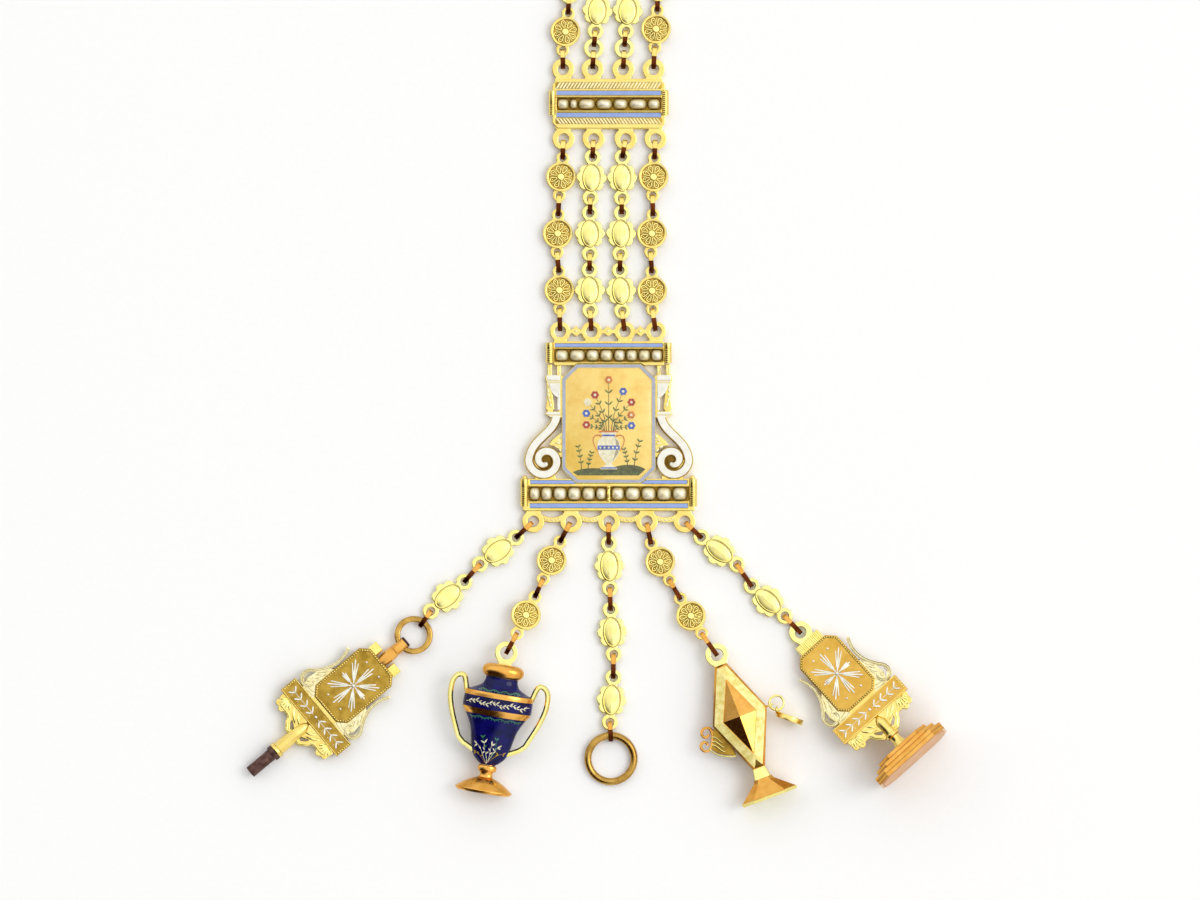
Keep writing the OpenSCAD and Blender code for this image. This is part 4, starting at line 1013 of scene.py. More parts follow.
def scrollEdge(shift, width, height):
    # raised gold lines beside both white scrolls; above 0 is the side of the volute's middle
    return bothSides(raisedLine(scrollPath, plaque["chasing"], width, height, shift * scrollTaper(1.0)), "x")


def acanthus(points, z):
    # small chased leaves along a line, each leaning to the next
    points = xy(points)
    return [leaf(a - (b - a) * 0.25, b + (b - a) * 0.15, 0.5, z, 0.16, 0.1) for a, b in zip(points, points[1:])]


def topEyeRow():
    # upper eyes, joined by small arms with a point below and a leaf above
    xs, y = plaque["topEyes"][:2]
    arm = [[0, 1.1], [-0.7, 0.35], [-1.5, 0.3], [-1.5, -0.35], [-0.7, -0.35], [0, -0.95], [0.7, -0.35], [1.5, -0.35],
           [1.5, 0.3], [0.7, 0.35]]
    arms = [inside(xy(arm) + [x, y]) for x in plaque["spacers"]]
    necks = [slab(x, 15.0, 2.3, 0.9) for x in xs]
    return eyeRow(plaque["topEyes"], (0, 14.15, 18.6, 1.4), (-10.8, 13.2, 10.5, 18.6), 0.12, arms + necks)


def lowEyeRow():
    # lower eyes, joined by shallow swags with open arches above them, and the small leaves on the swags
    p = plaque
    xs, y = p["lowEyes"][:2]
    necks = [slab(x, -15.95, 2.5, 0.9) for x in xs]
    gold = [eyeRow(p["lowEyes"], (0, -15.05, 27.6, 1.4), (-15.8, -19.8, 15.8, -14.2), 0.12, necks)]
    leaves = []
    reach, rise, sag, wide = p["swag"]
    lean = np.array([-0.26, 0.3])
    for mid in [(a + b) / 2 for a, b in zip(xs, xs[1:])]:
        path = bezierPoints([mid - reach, y + rise], [mid - reach / 2, y + sag], [mid + reach / 2, y + sag],
                            [mid + reach, y + rise], 16)
        gold.append(plate(ribbonPoints(path, wide), *p["swagHeights"], 0.12))
        spots = [path[round(share * (len(path) - 1))] for share in p["swagLeaves"]]
        leaves += [leaf(at - lean, at + lean, 0.26, 1.12, 0.12) for at in spots]
    return gold, leaves


def makePlaque():
    p = plaque
    pearlY, chasing = p["lowChannel"][1], p["chasing"]
    inner = [[s * p["innerStrip"][0]] + p["innerStrip"][1:] for s in (-1, 1)]
    gold = [plate(panelOutline(), 0, p["panelTop"], 0.1),
            barPlate(p["topBar"], [p["topChannel"], p["topStrip"]], (-10.4, 10.0, 10.4, 15.5)),
            barPlate(p["lowBar"], [p["lowChannel"], p["lowStrip"]] + inner, (-15.9, -16.1, 15.9, -9.4))]
    gold += channelRails(p["topChannel"]) + channelRails(p["lowChannel"], 0.35)
    for strip in [p["topStrip"], p["lowStrip"]] + [[x * 1.03, y, w * 0.92, h] for x, y, w, h in inner]:
        gold += stripLines(*strip)
    for s in (-1, 1):
        gold += [ribbedRoll(s * x, y, *p["rollShape"], length, ribs, p["rollPlain"])
                 for x, y, length, ribs in p["rolls"]]
        gold += [bead(s * x, y, *p["knobShape"], 12) for x, y in p["knobs"]]   # above and below each lower roll
    swags, leaves = lowEyeRow()
    gold += [bothSides(columnGold(), "x"), scrollEdge(-0.76, 0.2, 0.42), topEyeRow(), *swags]
    leaves += [bead(x, 16.7, 1.13, 0.3, 0.16, 12) for x in p["spacers"]]   # a dot in each lobed leaf
    # baluster and wall between the two halves of the lower row
    wide, tall, low, high = p["wall"]
    gold += [moved(lathe(smoothRows(balusterRows), 16), y=pearlY, z=high + 0.05, turn=90),
             plate(boxPoints(0, pearlY, wide, tall), low, high, 0.05)]
    chased = [shape for line in leafLines for shape in acanthus(line, chasing)]
    chased.append(leaf((-8.3, -3.6), (-9.9, -3.45), 0.45, chasing, 0.18))
    chased += [cutMark((x, 8.75), (x, 10.3), 0.26, 1.08, 0.14) for x in (-10.85, -10.45, -9.2, -8.85)]
    # floors of the pearl channels, darkened as painted shade
    floors = [seatPlate(*channel, 0.1, p["channelFloor"]) for channel in (p["topChannel"], p["lowChannel"])]
    # dark disc in each volute's open eye: painted shade
    voluteShadeFloor = bothSides(plate(circlePoints(*p["volute"], 1.75, 32), 1.0, 1.115, 0.01), "x")
    beds = [seatPlate(*strip, 0.3, p["stripFloor"]) for strip in [p["topStrip"], p["lowStrip"]] + inner]
    makePiece("plaqueFrame", "chain", ["plaque_frame"],
              [("polishedYellowGold", joined(*gold, *beds)), ("unpolishedRecessGold", joined(*floors)),
               ("tarnishedSeatGold", voluteShadeFloor), ("mattedOldGold", scrollEdge(0.74, 0.3, 0.5)),
               ("engravedGreenGold", joined(bothSides(joined(*chased), "x"), *leaves))])

    low = p["stripFloor"] + 0.02
    blue = [seatPlate(*strip, low, p["stripTop"], -0.04, 0.06) for strip in (p["topStrip"], p["lowStrip"])]
    halfWide, halfTall, corner = p["panel"]
    x, y, w, h = p["innerStrip"]
    slant, far = halfWide - corner + halfTall + y - h / 2 + 0.14, x + w / 2 - 0.02   # ends on the panel's cut corner
    shape = [[slant, y - h / 2 + 0.02], [far, y - h / 2 + 0.02], [far, y + h / 2 - 0.02], [slant + h, y + h / 2 - 0.02]]
    blue += [plate(xy(shape) * [s, 1], low, p["stripTop"], 0.05) for s in (-1, 1)]
    makePiece("plaqueBlueEnamel", "chain", ["plaque_blue_enamel"], [("paleBlueEnamel", joined(*blue))])

    low = p["panelTop"] + 0.02
    white = [plate(form, low, high, bevel) for form, high, bevel in whiteForms]
    white.append(plate(ribbonPoints(scrollPath, scrollTaper(p["scrollEnamel"])), low, p["enamelTop"], 0.12))
    white += [cutMark((-8.94 - 0.4 * k, 7.22), (-8.9 - 0.24 * k, 4.95 + 0.2 * k), 0.24, 1.44, 0.07) for k in range(5)]
    white.append(bead(*scrollPath[-1], low, 0.42, 0.42, 14))   # round end of the scroll
    makePiece("plaqueWhiteEnamel", "chain", ["plaque_white_enamel"],
              [("whiteEnamel", bothSides(joined(*white), "x"))])

    seat, wide = p["channelFloor"] + 0.02, sum(p["upperPearls"])
    row = pearlRow(p["upperPearls"], -wide / 2, p["topChannel"][1], seat, p["upperTop"], p["upperHalf"])
    makePiece("plaquePearlsUpper", "chain", ["plaque_pearls_upper"], [("creamNacrePearl", row)])
    left, right = p["lowerPearls"]
    rows = [pearlRow(widths, start, pearlY, seat, p["lowerTop"], p["lowerHalf"])
            for widths, start in ((left, -p["middleGap"] - sum(left)), (right, p["middleGap"]))]
    makePiece("plaquePearlsLower", "chain", ["plaque_pearls_lower"], [("creamNacrePearl", joined(*rows))])

    ring = plate([panelOutline(0.1), panelOutline(p["border"])[::-1]], low, p["borderTop"] - 0.06, 0.06)
    lips = [raisedLine(evenly(panelOutline(amount), 0.25), 1.42, 0.14, 0.16, closed=True)
            for amount in (0.06, p["border"])]
    makePiece("panelBorder", "chain", ["panel_border"],
              [("greyLilacEnamel", ring), ("burnishedPaleGold", joined(*lips))])


makePlaque()
print("plaque made")

# the panel's picture: a vase of flowers on a green mound, painted in enamels on a yellow ground

picture = {"ground": 1.5, "layer": 0.018, "flowers": [
    (-0.9, -0.75, 4.6, "bluePaint"), (0.9, 0.8, 4.4, "orangePaint"), (-0.4, -0.3, 7.0, "redPaint"),
    (0.5, 0.28, 7.6, "bluePaint"), (0.0, 0.0, 9.4, "orangePaint"), (-0.7, -0.52, 6.2, "creamPaint"),
    (0.8, 0.55, 6.3, "redPaint"), (-1.1, -1.15, 3.2, "redPaint"), (1.1, 1.2, 3.2, "bluePaint")],
    "plants": [(-4.9, -8.3, -0.15, 4.4), (-3.7, -8.2, 0.2, 3.2), (4.6, -8.0, 0.2, 5.2), (3.4, -7.8, -0.2, 3.4)],
    "vase": [[0.0, -8.2], [1.5, -8.2], [1.5, -7.9], [0.75, -7.6], [0.5, -7.1], [0.95, -6.7], [1.75, -5.6],
             [2.1, -4.2], [1.95, -3.1], [1.25, -2.4], [1.15, -1.9], [1.6, -1.5]],
    "shade": [[0.7, -6.7], [1.55, -5.6], [1.9, -4.2], [1.75, -3.2], [1.2, -2.6], [1.35, -4.4], [1.0, -5.8]],
    "stripes": [(-4.3, 0.75, 1.98), (-2.1, 0.3, 1.14), (-7.95, 0.22, 1.4)], "flower": [0.42, 0.3, 0.24], "stem": 0.13}


def leafOutline(root, tip, width):
    way = tip - root
    side = leftOf(way) / np.linalg.norm(way) * width
    return [root, root + way * 0.3 - side * 0.9, root + way * 0.6 - side, tip, root + way * 0.6 + side,
            root + way * 0.3 + side * 0.9]


def makePicture():
    p = picture
    paint = {}

    def brush(colour, outline, level):
        strokes = paint.setdefault(colour, [])
        # each stroke a hair higher than the last, so that no two lie at one height
        high = p["ground"] + p["layer"] * (level + 0.13 * (len(strokes) % 7))
        strokes.append(plate(xy(outline), p["ground"] - 0.01, high, 0.004, 0.0, 1))

    def line(colour, path, width, level):
        brush(colour, ribbonPoints(path, np.linspace(width, width * 0.4, len(path))), level)

    def sprig(x, y, lean, size, flower=None):
        # a stem with leaf pairs and a flower at its end
        tip = (x + math.sin(lean) * size, y + math.cos(lean) * size)
        path = bezierPoints((x, y), (x, y + size * 0.4), (tip[0] * 0.7 + x * 0.3, tip[1] - size * 0.2), tip, 10)
        line("darkStemPaint", path, p["stem"], 2)
        way = along(path)
        for k in range(2, 9, 2):
            for s in (-1, 1):
                end = path[k] + way[k] * (0.25 + size * 0.05) + leftOf(way[k]) * s * (0.35 + size * 0.04)
                brush("leafGreenPaint", leafOutline(path[k], end, 0.13), 3)
        if flower:
            away, petal, eye = p["flower"]
            for x, y in circlePoints(*tip, away, 6):
                brush(flower, circlePoints(x, y, petal, 10), 4)
            brush("creamPaint", circlePoints(*tip, eye, 10), 6)

    mound = np.concatenate([bezierPoints((-6.5, -8.7), (-4.0, -7.5), (-1.0, -8.3), (0.6, -7.9), 10),
                            bezierPoints((0.7, -7.9), (3.0, -7.0), (5.6, -7.4), (6.6, -8.2), 10),
                            [[5.4, -9.3], [-5.6, -9.3]]])
    brush("moundGreenPaint", mound[::-1], 1)
    for x in np.arange(-5.6, 5.8, 0.5):
        line("leafGreenPaint", [[x, -9.1], [x + 0.25, -8.85], [x + 0.3, -8.5]], 0.16, 2)
    brush("creamPaint", p["vase"] + [[-x, y] for x, y in p["vase"][::-1]], 4)
    brush("shadePaint", p["shade"], 5)
    for y, h, w in p["stripes"]:
        brush("bluePaint", boxPoints(0, y, 2 * w, h), 6)
    for k in range(-2, 3):
        brush("creamPaint", circlePoints(k * 0.75, -4.3, 0.19, 10), 7)
    for s in (-1, 1):
        handle = bezierPoints((s * 1.2, -2.3), (s * 2.9, -1.4), (s * 3.4, -3.2), (s * 1.95, -4.9), 14)
        line("orangePaint", handle, 0.26, 4)
    brush("orangePaint", boxPoints(0, -1.42, 3.4, 0.28), 6)
    for x, lean, size, flower in p["flowers"]:
        sprig(x, -1.5, lean, size, flower)
    for plant in p["plants"]:
        sprig(*plant)
    floor = plate(panelOutline(plaque["border"] + 0.04), plaque["panelTop"] + 0.02, p["ground"], 0.04)
    makePiece("panelPicture", "chain", ["panel_picture"],
              [("yellowEnamelGround", floor)] + [(name, joined(*shapes)) for name, shapes in paint.items()])


makePicture()
print("picture made")

# the starred plate that the key and the seal share; +X runs down the drop

cartouche = {"panel": [6.65, 4.5, 1.5, 1.3], "beading": [0.33, 0.15, 0.46], "rays": 8, "rayLong": 4.9, "rayShort": 3.3,
             "rayCut": [0.2, 0.34, 0.08], "fineCut": [0.9, 0.28, 0.06], "fineLean": 7.5, "dots": [4.5, 1.7],
             "band": [8.8, 3.4, 1.6], "leafStep": 1.6, "leafCut": [0.98, 1.05, 0.38, 0.09], "scrollWidth": 0.6,
             "neck": [6.65, 2.0, 6.0, 1.1], "thin": 1.0, "crestWidth": 0.9, "knob": [11.4, 5.4, 1.35]}
sideScroll = np.concatenate([bezierPoints([-3.5, 5.7], [-0.5, 4.2], [2.0, 5.4], [3.9, 6.9], 14),
                             arcPoints([5.4, 5.9], 1.8, 0.5, 146, -200, 36)[1:]])
crestLeaf = np.concatenate([bezierPoints([10.8, 6.6], [13.6, 6.2], [10.8, 3.2], [13.2, 2.6], 14),
                            [[14.2, 1.6], [14.0, 0.9]]])
# fields that the side scroll and the crest leaf grow from, and engraved lines in the scroll's field
scrollBed = [[0.2, 4.2], [5.0, 4.2], [5.7, 2.9], [7.3, 2.9], [7.3, 5.6], [5.4, 6.4], [3.4, 6.2]]
crestBed = [[10.3, 6.2], [10.3, 0.3], [13.6, 0.3], [12.4, 2.4], [11.2, 4.4]]
bedLines = [[[0.6, 4.6], [1.6, 4.9], [2.4, 5.1], [3.4, 5.9]], [[2.4, 4.7], [3.2, 4.8], [4.0, 5.0], [4.6, 5.5]],
            [[5.9, 3.2], [6.3, 3.9], [6.5, 4.6], [6.4, 5.2]], [[6.6, 3.0], [6.9, 3.8], [7.0, 4.6], [6.8, 5.4]]]


def flutedBlock(s, across, width, ribs):
    # block of round ribs that run along the drop
    step = width / ribs
    rows = [[-0.9, step * 0.42], [-0.84, step * 0.5], [0.84, step * 0.5], [0.9, step * 0.42]]
    rib = lathe(rows, 14, 0.6 / (step * 0.5))
    core = plate(boxPoints(s, across, 1.7, width - step * 0.5), -0.42, 0.42, 0.05)
    return joined(core, *[moved(rib, s, across - width / 2 + step * (k + 0.5)) for k in range(ribs)])


def starCuts(top):
    # star of bright cuts on the panel, each ray with a finer one at each side, and four dots
    p = cartouche
    start, width, height = p["rayCut"]
    fineStart, fineWidth, fineHeight = p["fineCut"]
    cuts = [bead(0, 0, top, 0.4, 0.2, 10)]
    for a in 360 / p["rays"] * np.arange(p["rays"]):
        reach = p["rayShort"] if a in (90, 270) else p["rayLong"]
        cuts.append(moved(cutMark((start, 0), (reach, 0), width, top - 0.01, height), turn=a))
        fine = cutMark((fineStart, 0), (reach * 0.87, 0), fineWidth, top - 0.01, fineHeight)
        cuts += [moved(fine, turn=a + lean) for lean in (-p["fineLean"], p["fineLean"])]
    x, y = p["dots"]
    return cuts + [bead(sx * x, sy * y, top, 0.24, 0.14, 10) for sx in (-1, 1) for sy in (-1, 1)]


def bandCuts(s, half, top):
    # row of leaves cut both ways from the middle of the cross band
    rootAt = np.arange(0.9, half - 1.5, cartouche["leafStep"])
    out, on, width, height = cartouche["leafCut"]
    cuts = [bead(s, 0, top, 0.32, 0.18, 10)]
    for side in (-1, 1):
        cuts.append(cutMark((s, side * 0.5), (s, side * (rootAt[-1] + 0.9)), 0.16, top - 0.01, 0.06))
        for a in rootAt:
            cuts += [cutMark((s, side * a), (s + lean * out, side * (a + on)), width, top - 0.01, height)
                     for lean in (-1, 1)]
            cuts.append(bead(s + 0.75, side * (a + 0.1), top - 0.02, 0.12, 0.1, 6))
    return cuts


def scrollParts(thin, low):
    # scroll at the panel's side: its plate, what is raised on it and what is engraved in it
    bed = merged(stroke(sideScroll, cartouche["scrollWidth"]), inside(scrollBed), blend=0.1)
    scroll = plate(outlinesOf(bed, (-4.4, 2.4, 8.2, 8.4), 0.08), -thin, thin, 0.08)
    relief = [raisedLine(sideScroll[:40], low, 0.12, 0.09, shift) for shift in (-0.22, 0.22)]
    relief += [leaf((0.9, 4.75), (2.9, 5.3), 0.42, low, 0.1), leaf((2.6, 5.0), (4.0, 5.9), 0.45, low, 0.1),
               leaf((3.3, 4.75), (4.7, 5.1), 0.36, low, 0.1), bead(5.5, 5.95, low, 0.4, 0.16, 12),
               raisedLine(arcPoints([5.4, 5.9], 1.15, 0.75, 120, -180, 24), low, 0.16, 0.1)]
    engraved = [raisedLine(sideScroll[:42], low, 0.07, 0.05, shift) for shift in (-0.1, 0.13)]
    engraved += [raisedLine(bezierPoints(*line, 8), low, 0.07, 0.04) for line in bedLines]
    return scroll, joined(*relief), joined(*engraved)


def crestParts(thin, low):
    # leafy cresting at the band's side: its plate, and the leaves on it
    x, y, r = cartouche["knob"]
    petals = [disc(x + 1.2 * math.cos(a), y + 1.2 * math.sin(a), 0.6) for a in np.radians([-70, -10, 50])]
    crest = merged(stroke(crestLeaf, cartouche["crestWidth"]), disc(x, y, r), *petals, inside(crestBed), blend=0.15)
    leaves = [leaf((10.55, 5.9 - 0.15 * k), (x + 1.55 * math.cos(a), y + 1.55 * math.sin(a)), 0.52, low, 0.2)
              for k, a in enumerate(np.radians([75, 45, 15, -15, -45, -75]))]
    leaves += [raisedLine(crestLeaf[3:], low, 0.3, 0.2, 0.1), leaf((10.6, 3.9), (12.6, 1.2), 0.6, low, 0.18, 0.2),
               leaf((10.6, 2.6), (12.2, 0.5), 0.5, low, 0.16, 0.2), bead(10.9, 4.6, thin, 0.24, 0.14, 8)]
    return plate(outlinesOf(crest, (9.6, -0.2, 15.0, 7.6), 0.08), -thin, thin, 0.1), joined(*leaves)


def cartoucheParts(bandLength, ground):
    p = cartouche
    long, tall, corner, thick = p["panel"]
    s, bandWidth, bandThick = p["band"]
    top, bandTop, thin, half = thick / 2, bandThick / 2, p["thin"] / 2, bandLength / 2
    away, beadRadius, beadStep = p["beading"]
    panel = plate(boxPoints(0, 0, 2 * long, 2 * tall, corner), -top, top, 0.14)
    band = plate(boxPoints(s, 0, bandWidth, bandLength), -bandTop, bandTop, 0.12)
    edge = boxPoints(0, 0, 2 * (long - away), 2 * (tall - away), corner - away * 0.6)
    beads = [bead(x, y, top - 0.02, beadRadius, beadRadius * 0.8) for x, y in evenly(edge, beadStep)]
    # dark band inside the beading: painted shade
    rut = raisedLine(evenly(edge, 0.3), top - 0.01, 0.42, 0.05, count=3, closed=True)
    fillets = [raisedLine([[x, -half + 0.1], [x, half - 0.1]], bandTop - 0.02, 0.22, 0.1)
               for x in (s - bandWidth / 2 + 0.14, s + bandWidth / 2 - 0.14)]
    beads += [bead(x, side * (half - 0.3), bandTop - 0.02, 0.15, 0.12) for side in (-1, 1)
              for x in np.arange(s - bandWidth / 2 + 0.5, s + bandWidth / 2 - 0.3, 0.44)]
    neckAt, neckWidth, neckLength, neckThick = p["neck"]
    neck = plate(boxPoints(neckAt, 0, neckWidth, neckLength), -neckThick / 2, neckThick / 2, 0.05)
    scroll, relief, engraved = scrollParts(thin, thin - 0.02)
    crest, leaves = crestParts(thin, thin - 0.02)
    cuts = starCuts(top) + bandCuts(s, half, bandTop)
    return [(ground, joined(panel, band)),
            ("polishedYellowGold", joined(neck, bothSides(crest, "y"), bothSides(joined(*fillets), "z"))),
            ("unpolishedRecessGold", bothSides(rut, "z")),
            ("burnishedPaleGold", bothSides(joined(*beads, bothSides(leaves, "y")), "z")),
            ("brightCutGold", bothSides(joined(*cuts), "z")),
            ("tarnishedSeatGold", bothSides(bothSides(engraved, "y"), "z")),
            ("engravedGreenGold", joined(bothSides(scroll, "y"), bothSides(bothSides(relief, "y"), "z")))]


# the watch key: ring, collar, plate that turns in it, and pipe

watchKey = {"place": [-45.9, -47.1, 1.5, -140], "ring": [3.45, 2.4, 0.7, 0.26], "ringAt": [-14.1, -0.275, 5.4],
            "bandLength": 15.6, "blocks": [-7.3, 2.5, 2.1, 4], "collar": 1.05, "slotHalf": 0.5, "barrelSides": 10,
            "pipe": [20.2, 24.25, 1.08, 1.2]}
neckRows = [[-10.46, 0.8], [-10.16, 0.8], [-10.16, 0.5], [-9.71, 0.5], [-9.71, 0.98], [-9.6, 1.05], [-8.6, 1.15],
            [-7.6, 1.12], [-6.6, 0.95], [-5.6, 0.3]]
barrelRows = [[10.2, 0.12], [11.0, 0.75], [12.0, 1.18], [14.0, 1.2], [17.5, 1.2], [17.6, 1.36], [17.8, 1.46],
              [18.2, 1.5], [18.3, 1.44]]
collarRows = [[-10.53, 0.88], [-10.1, 0.88], [-10.1, 0.55], [-9.75, 0.55], [-9.75, 1.0], [-9.82, 1.05],
              [-10.53, 1.05]]
pipeRows = [[18.32, 1.3], [18.4, 1.42], [18.95, 1.44], [19.2, 1.36], [19.25, 1.1], [20.3, 1.08]]


def makeKey():
    p = watchKey
    place = placeMatrix(*p["place"])
    at, drop, tilt = p["ringAt"]
    makePiece("keyRing", "chain", ["key_ring"],
              [("wornRingGold", moved(ringPlate(*p["ring"]), at, 0, drop, tip=tilt))], place)
    # collar in four parts round its slot: bored end, two cheeks and a bevelled far end
    r = p["collar"]
    reach = math.degrees(math.asin(p["slotHalf"] / r))
    cheek = sweep([[-12.1, 0], [-10.5, 0]], arcPoints((0, 0), r, r, reach, 180 - reach, 14) * [-1, 1])
    # the bevelled far end is dark browned iron, which also stands for the shade in the collar's hollow end
    slope, faces = lathe([[-12.5, 0.86], [-12.42, 0.97], [-12.07, 1.05]], 24)
    slope[:, 2] = np.where(slope[:, 0] < -12.2, np.minimum(slope[:, 2], 0.25), slope[:, 2])
    makePiece("keyCollar", "chain", ["key_collar"],
              [("buffedOrangeGold", joined(lathe(collarRows, 28, closed=True), bothSides(cheek, "z"))),
               ("brownedIron", (slope, faces))], place)
    parts = cartoucheParts(p["bandLength"], "mattedOldGold")
    parts += [("burnishedPaleGold", bothSides(flutedBlock(*p["blocks"]), "y")),
              ("polishedYellowGold", lathe(barrelRows, p["barrelSides"])), ("buffedOrangeGold", lathe(neckRows, 8))]
    makePiece("keyPlate", "key", ["key_plate"], parts, place)
    start, tip, pipeRadius, socket = p["pipe"]
    bore = plate([circlePoints(0, 0, pipeRadius, 40), boxPoints(0, 0, socket, socket)[::-1]], start, tip, 0.05)
    makePiece("keyPipe", "key", ["key_pipe"],
              [("brownedIron", joined(lathe(pipeRows, 36), moved(bore, tip=-90)))], place)


makeKey()
print("key made")

# the seal: the same plate on a turned stem and a stepped base with a stone face

seal = {"place": [34.5, -37.6, 1.02, -48, 9.3], "star": 10.0, "eye": [0, 2.05, 1.05, 0.65], "bandLength": 15.1,
        "block": [-7.5, 0, 5.4, 8], "base": [17.3, 11.5, 15.4, 2.2], "rim": [2.6, 0.7],
        "tiers": [[0, 0.92, 2.2], [0.9, 0.92, 1.0], [1.8, 0.82, 0]], "face": [2.62, 0.85, 0.52, 2.0]}
stemRows = [[10.4, 0.25], [11.0, 0.8], [11.8, 1.15], [13.4, 1.05], [14.4, 1.15], [14.5, 1.32], [14.7, 1.4],
            [15.1, 1.36], [15.3, 1.0], [15.8, 0.9], [16.3, 0.98], [16.9, 1.25], [17.5, 1.5]]


def makeSeal():
    p = seal
    place = placeMatrix(*p["place"])
    base, deep, wide, corner = p["base"]
    stoneFrom, stoneThick, inset, stoneCorner = p["face"]

    def around(away, cut=corner):
        # outline of the base, kept in from its edge
        return boxPoints(0, 0, deep - 2 * away, wide - 2 * away, cut)

    def standing(loops, start, thick, bevel):
        # plate at right angles to the drop, at its start along the base
        return moved(plate(loops, base + start, base + start + thick, bevel), p["star"], tip=-90)

    steps = [standing(around(away), start, thick, 0.22) for start, thick, away in p["tiers"]]
    rim = standing([around(0), around(inset - 0.02, stoneCorner)[::-1]], *p["rim"], 0.1)
    eye = eyePlate(*p["eye"], (2.0, 0, 1.6, 3.0), (-2.4, -2.4, 3.2, 2.4))
    parts = [(name, moved(shape, p["star"])) for name, shape in cartoucheParts(p["bandLength"], "mattedOrangeGold")]
    parts += [("burnishedPaleGold", joined(eye, moved(flutedBlock(*p["block"]), p["star"]))),
              ("buffedOrangeGold", joined(*steps, rim)), ("polishedYellowGold", moved(lathe(stemRows, 28), p["star"]))]
    makePiece("sealPlate", "chain", ["seal_plate"], parts, place)
    stone = standing(around(inset, stoneCorner), stoneFrom, stoneThick, 0.16)
    makePiece("sealFace", "chain", ["seal_face"], [("roseHardstone", stone)], place)


makeSeal()
print("seal made")

# the urn: turned and pressed oval, gold bands, blue enamel with painted vines, strip handles

urn = {"place": [-18.75, -43.3, 3.82, -99.5, -2.2], "squash": 0.56, "bail": [-2.1, 2.07, 1.17, 0.65], "bailZ": -1.15,
       "handle": [0.95, 0.9, 0.28], "belt": 7.1, "vine": 0.24, "garlands": [[4.75, 3.6], [9.75, 4.5]],
       "garlandStep": 0.3, "stroke": 0.11,
       "goldZones": [[0, 2.4], [5.15, 6.05, 0.03], [8.2, 9.3, 0.03], [18.25, 23.3]],
       "enamelZones": [[2.4, 5.15], [6.05, 8.2], [9.3, 18.25]]}
urnRows = [[0, 2.5], [0.25, 3.2], [0.8, 3.7], [1.5, 3.75], [2.1, 3.4], [2.4, 2.95], [3.2, 3.0], [4.0, 3.5],
           [4.8, 5.0], [5.15, 6.05], [6.05, 6.2], [8.2, 6.2], [9.3, 5.55], [10.8, 4.7], [12.2, 4.15], [13.8, 3.8],
           [15.3, 3.5], [16.8, 2.9], [17.8, 1.95], [18.25, 1.3], [18.5, 1.65], [19.3, 1.65], [19.5, 1.25],
           [20.4, 1.25], [20.9, 2.3], [21.6, 3.6], [22.5, 4.85], [22.7, 5.1], [22.9, 5.15], [23.3, 4.75]]
urnBody = smoothRows(urnRows, 4)
handlePath = np.concatenate([bezierPoints([6.0, 5.7], [4.4, 6.4], [2.5, 6.3], [2.9, 7.5], 10),
                             bezierPoints([2.9, 7.5], [3.3, 8.8], [5.0, 8.9], [7.0, 8.65], 10)[1:],
                             bezierPoints([7.0, 8.65], [9.5, 8.2], [12.0, 6.9], [13.9, 6.1], 10)[1:],
                             [[14.4, 5.6], [14.9, 5.0], [15.9, 3.0]]])
# flowers on bent stems that rise from the foot; buds are where each stem's tip and side shoots end
urnStems = [("creamPaint", [[18.0, -0.3], [16.4, -0.2], [15.8, -1.2], [14.3, -1.2]], [[13.5, -0.8], [14.0, -1.9]]),
            ("creamPaint", [[18.0, -0.3], [16.8, -1.2], [15.2, -1.5], [14.7, -2.5]], [[14.2, -3.1], [15.3, -2.9]]),
            ("creamPaint", [[18.0, -0.3], [16.6, 0.4], [15.5, -0.2], [14.6, 0.2]], [[13.7, 0.1], [14.1, 0.8]]),
            ("creamPaint", [[17.6, -0.1], [16.0, 0.6], [15.4, 0.8], [14.9, 1.2]], [[14.3, 2.0], [15.0, 1.9]]),
            ("mattedOldGold", [[17.8, -0.1], [16.6, 0.9], [15.9, 1.5], [15.9, 2.4]], [[15.5, 2.9], [16.3, 2.6]]),
            ("mattedOldGold", [[17.9, -0.5], [17.0, -1.4], [16.4, -1.8], [16.2, -2.5]], [[15.9, -2.9], [16.6, -2.8]]),
            ("greenEnamelDots", [[17.0, -0.5], [15.4, -0.9], [14.4, -1.5], [13.4, -1.6]], [[12.8, -1.3], [13.0, -2.1]]),
            ("greenEnamelDots", [[17.0, 0.3], [15.8, 0.9], [14.4, 1.1], [13.6, 0.9]], [[13.0, 1.2], [13.0, 0.5]])]


def urnZone(start, end, grow=0.0):
    # one stretch of the body; grow makes a band stand proud of it
    rows = urnBody[(urnBody[:, 0] > start + 0.02) & (urnBody[:, 0] < end - 0.02)]
    first, last = ([[at, np.interp(at, *urnBody.T)]] for at in (start, end))
    return lathe(np.concatenate([first, rows, last]) + [0, grow], 72, urn["squash"])


def draped(shape):
    # lays a flat ornament on the urn's upper side
    points = shape[0].copy()
    r = np.interp(points[:, 0], *urnBody.T)
    points[:, 2] += urn["squash"] * np.sqrt(np.maximum(r ** 2 - points[:, 1] ** 2, 0.01))
    return points, shape[1]


def paintedStroke(path, height):
    path = evenly(path, 0.22, False)
    return draped(sweep(path, halfRound(urn["stroke"], height, 4), size=np.linspace(1, 0.55, len(path))))


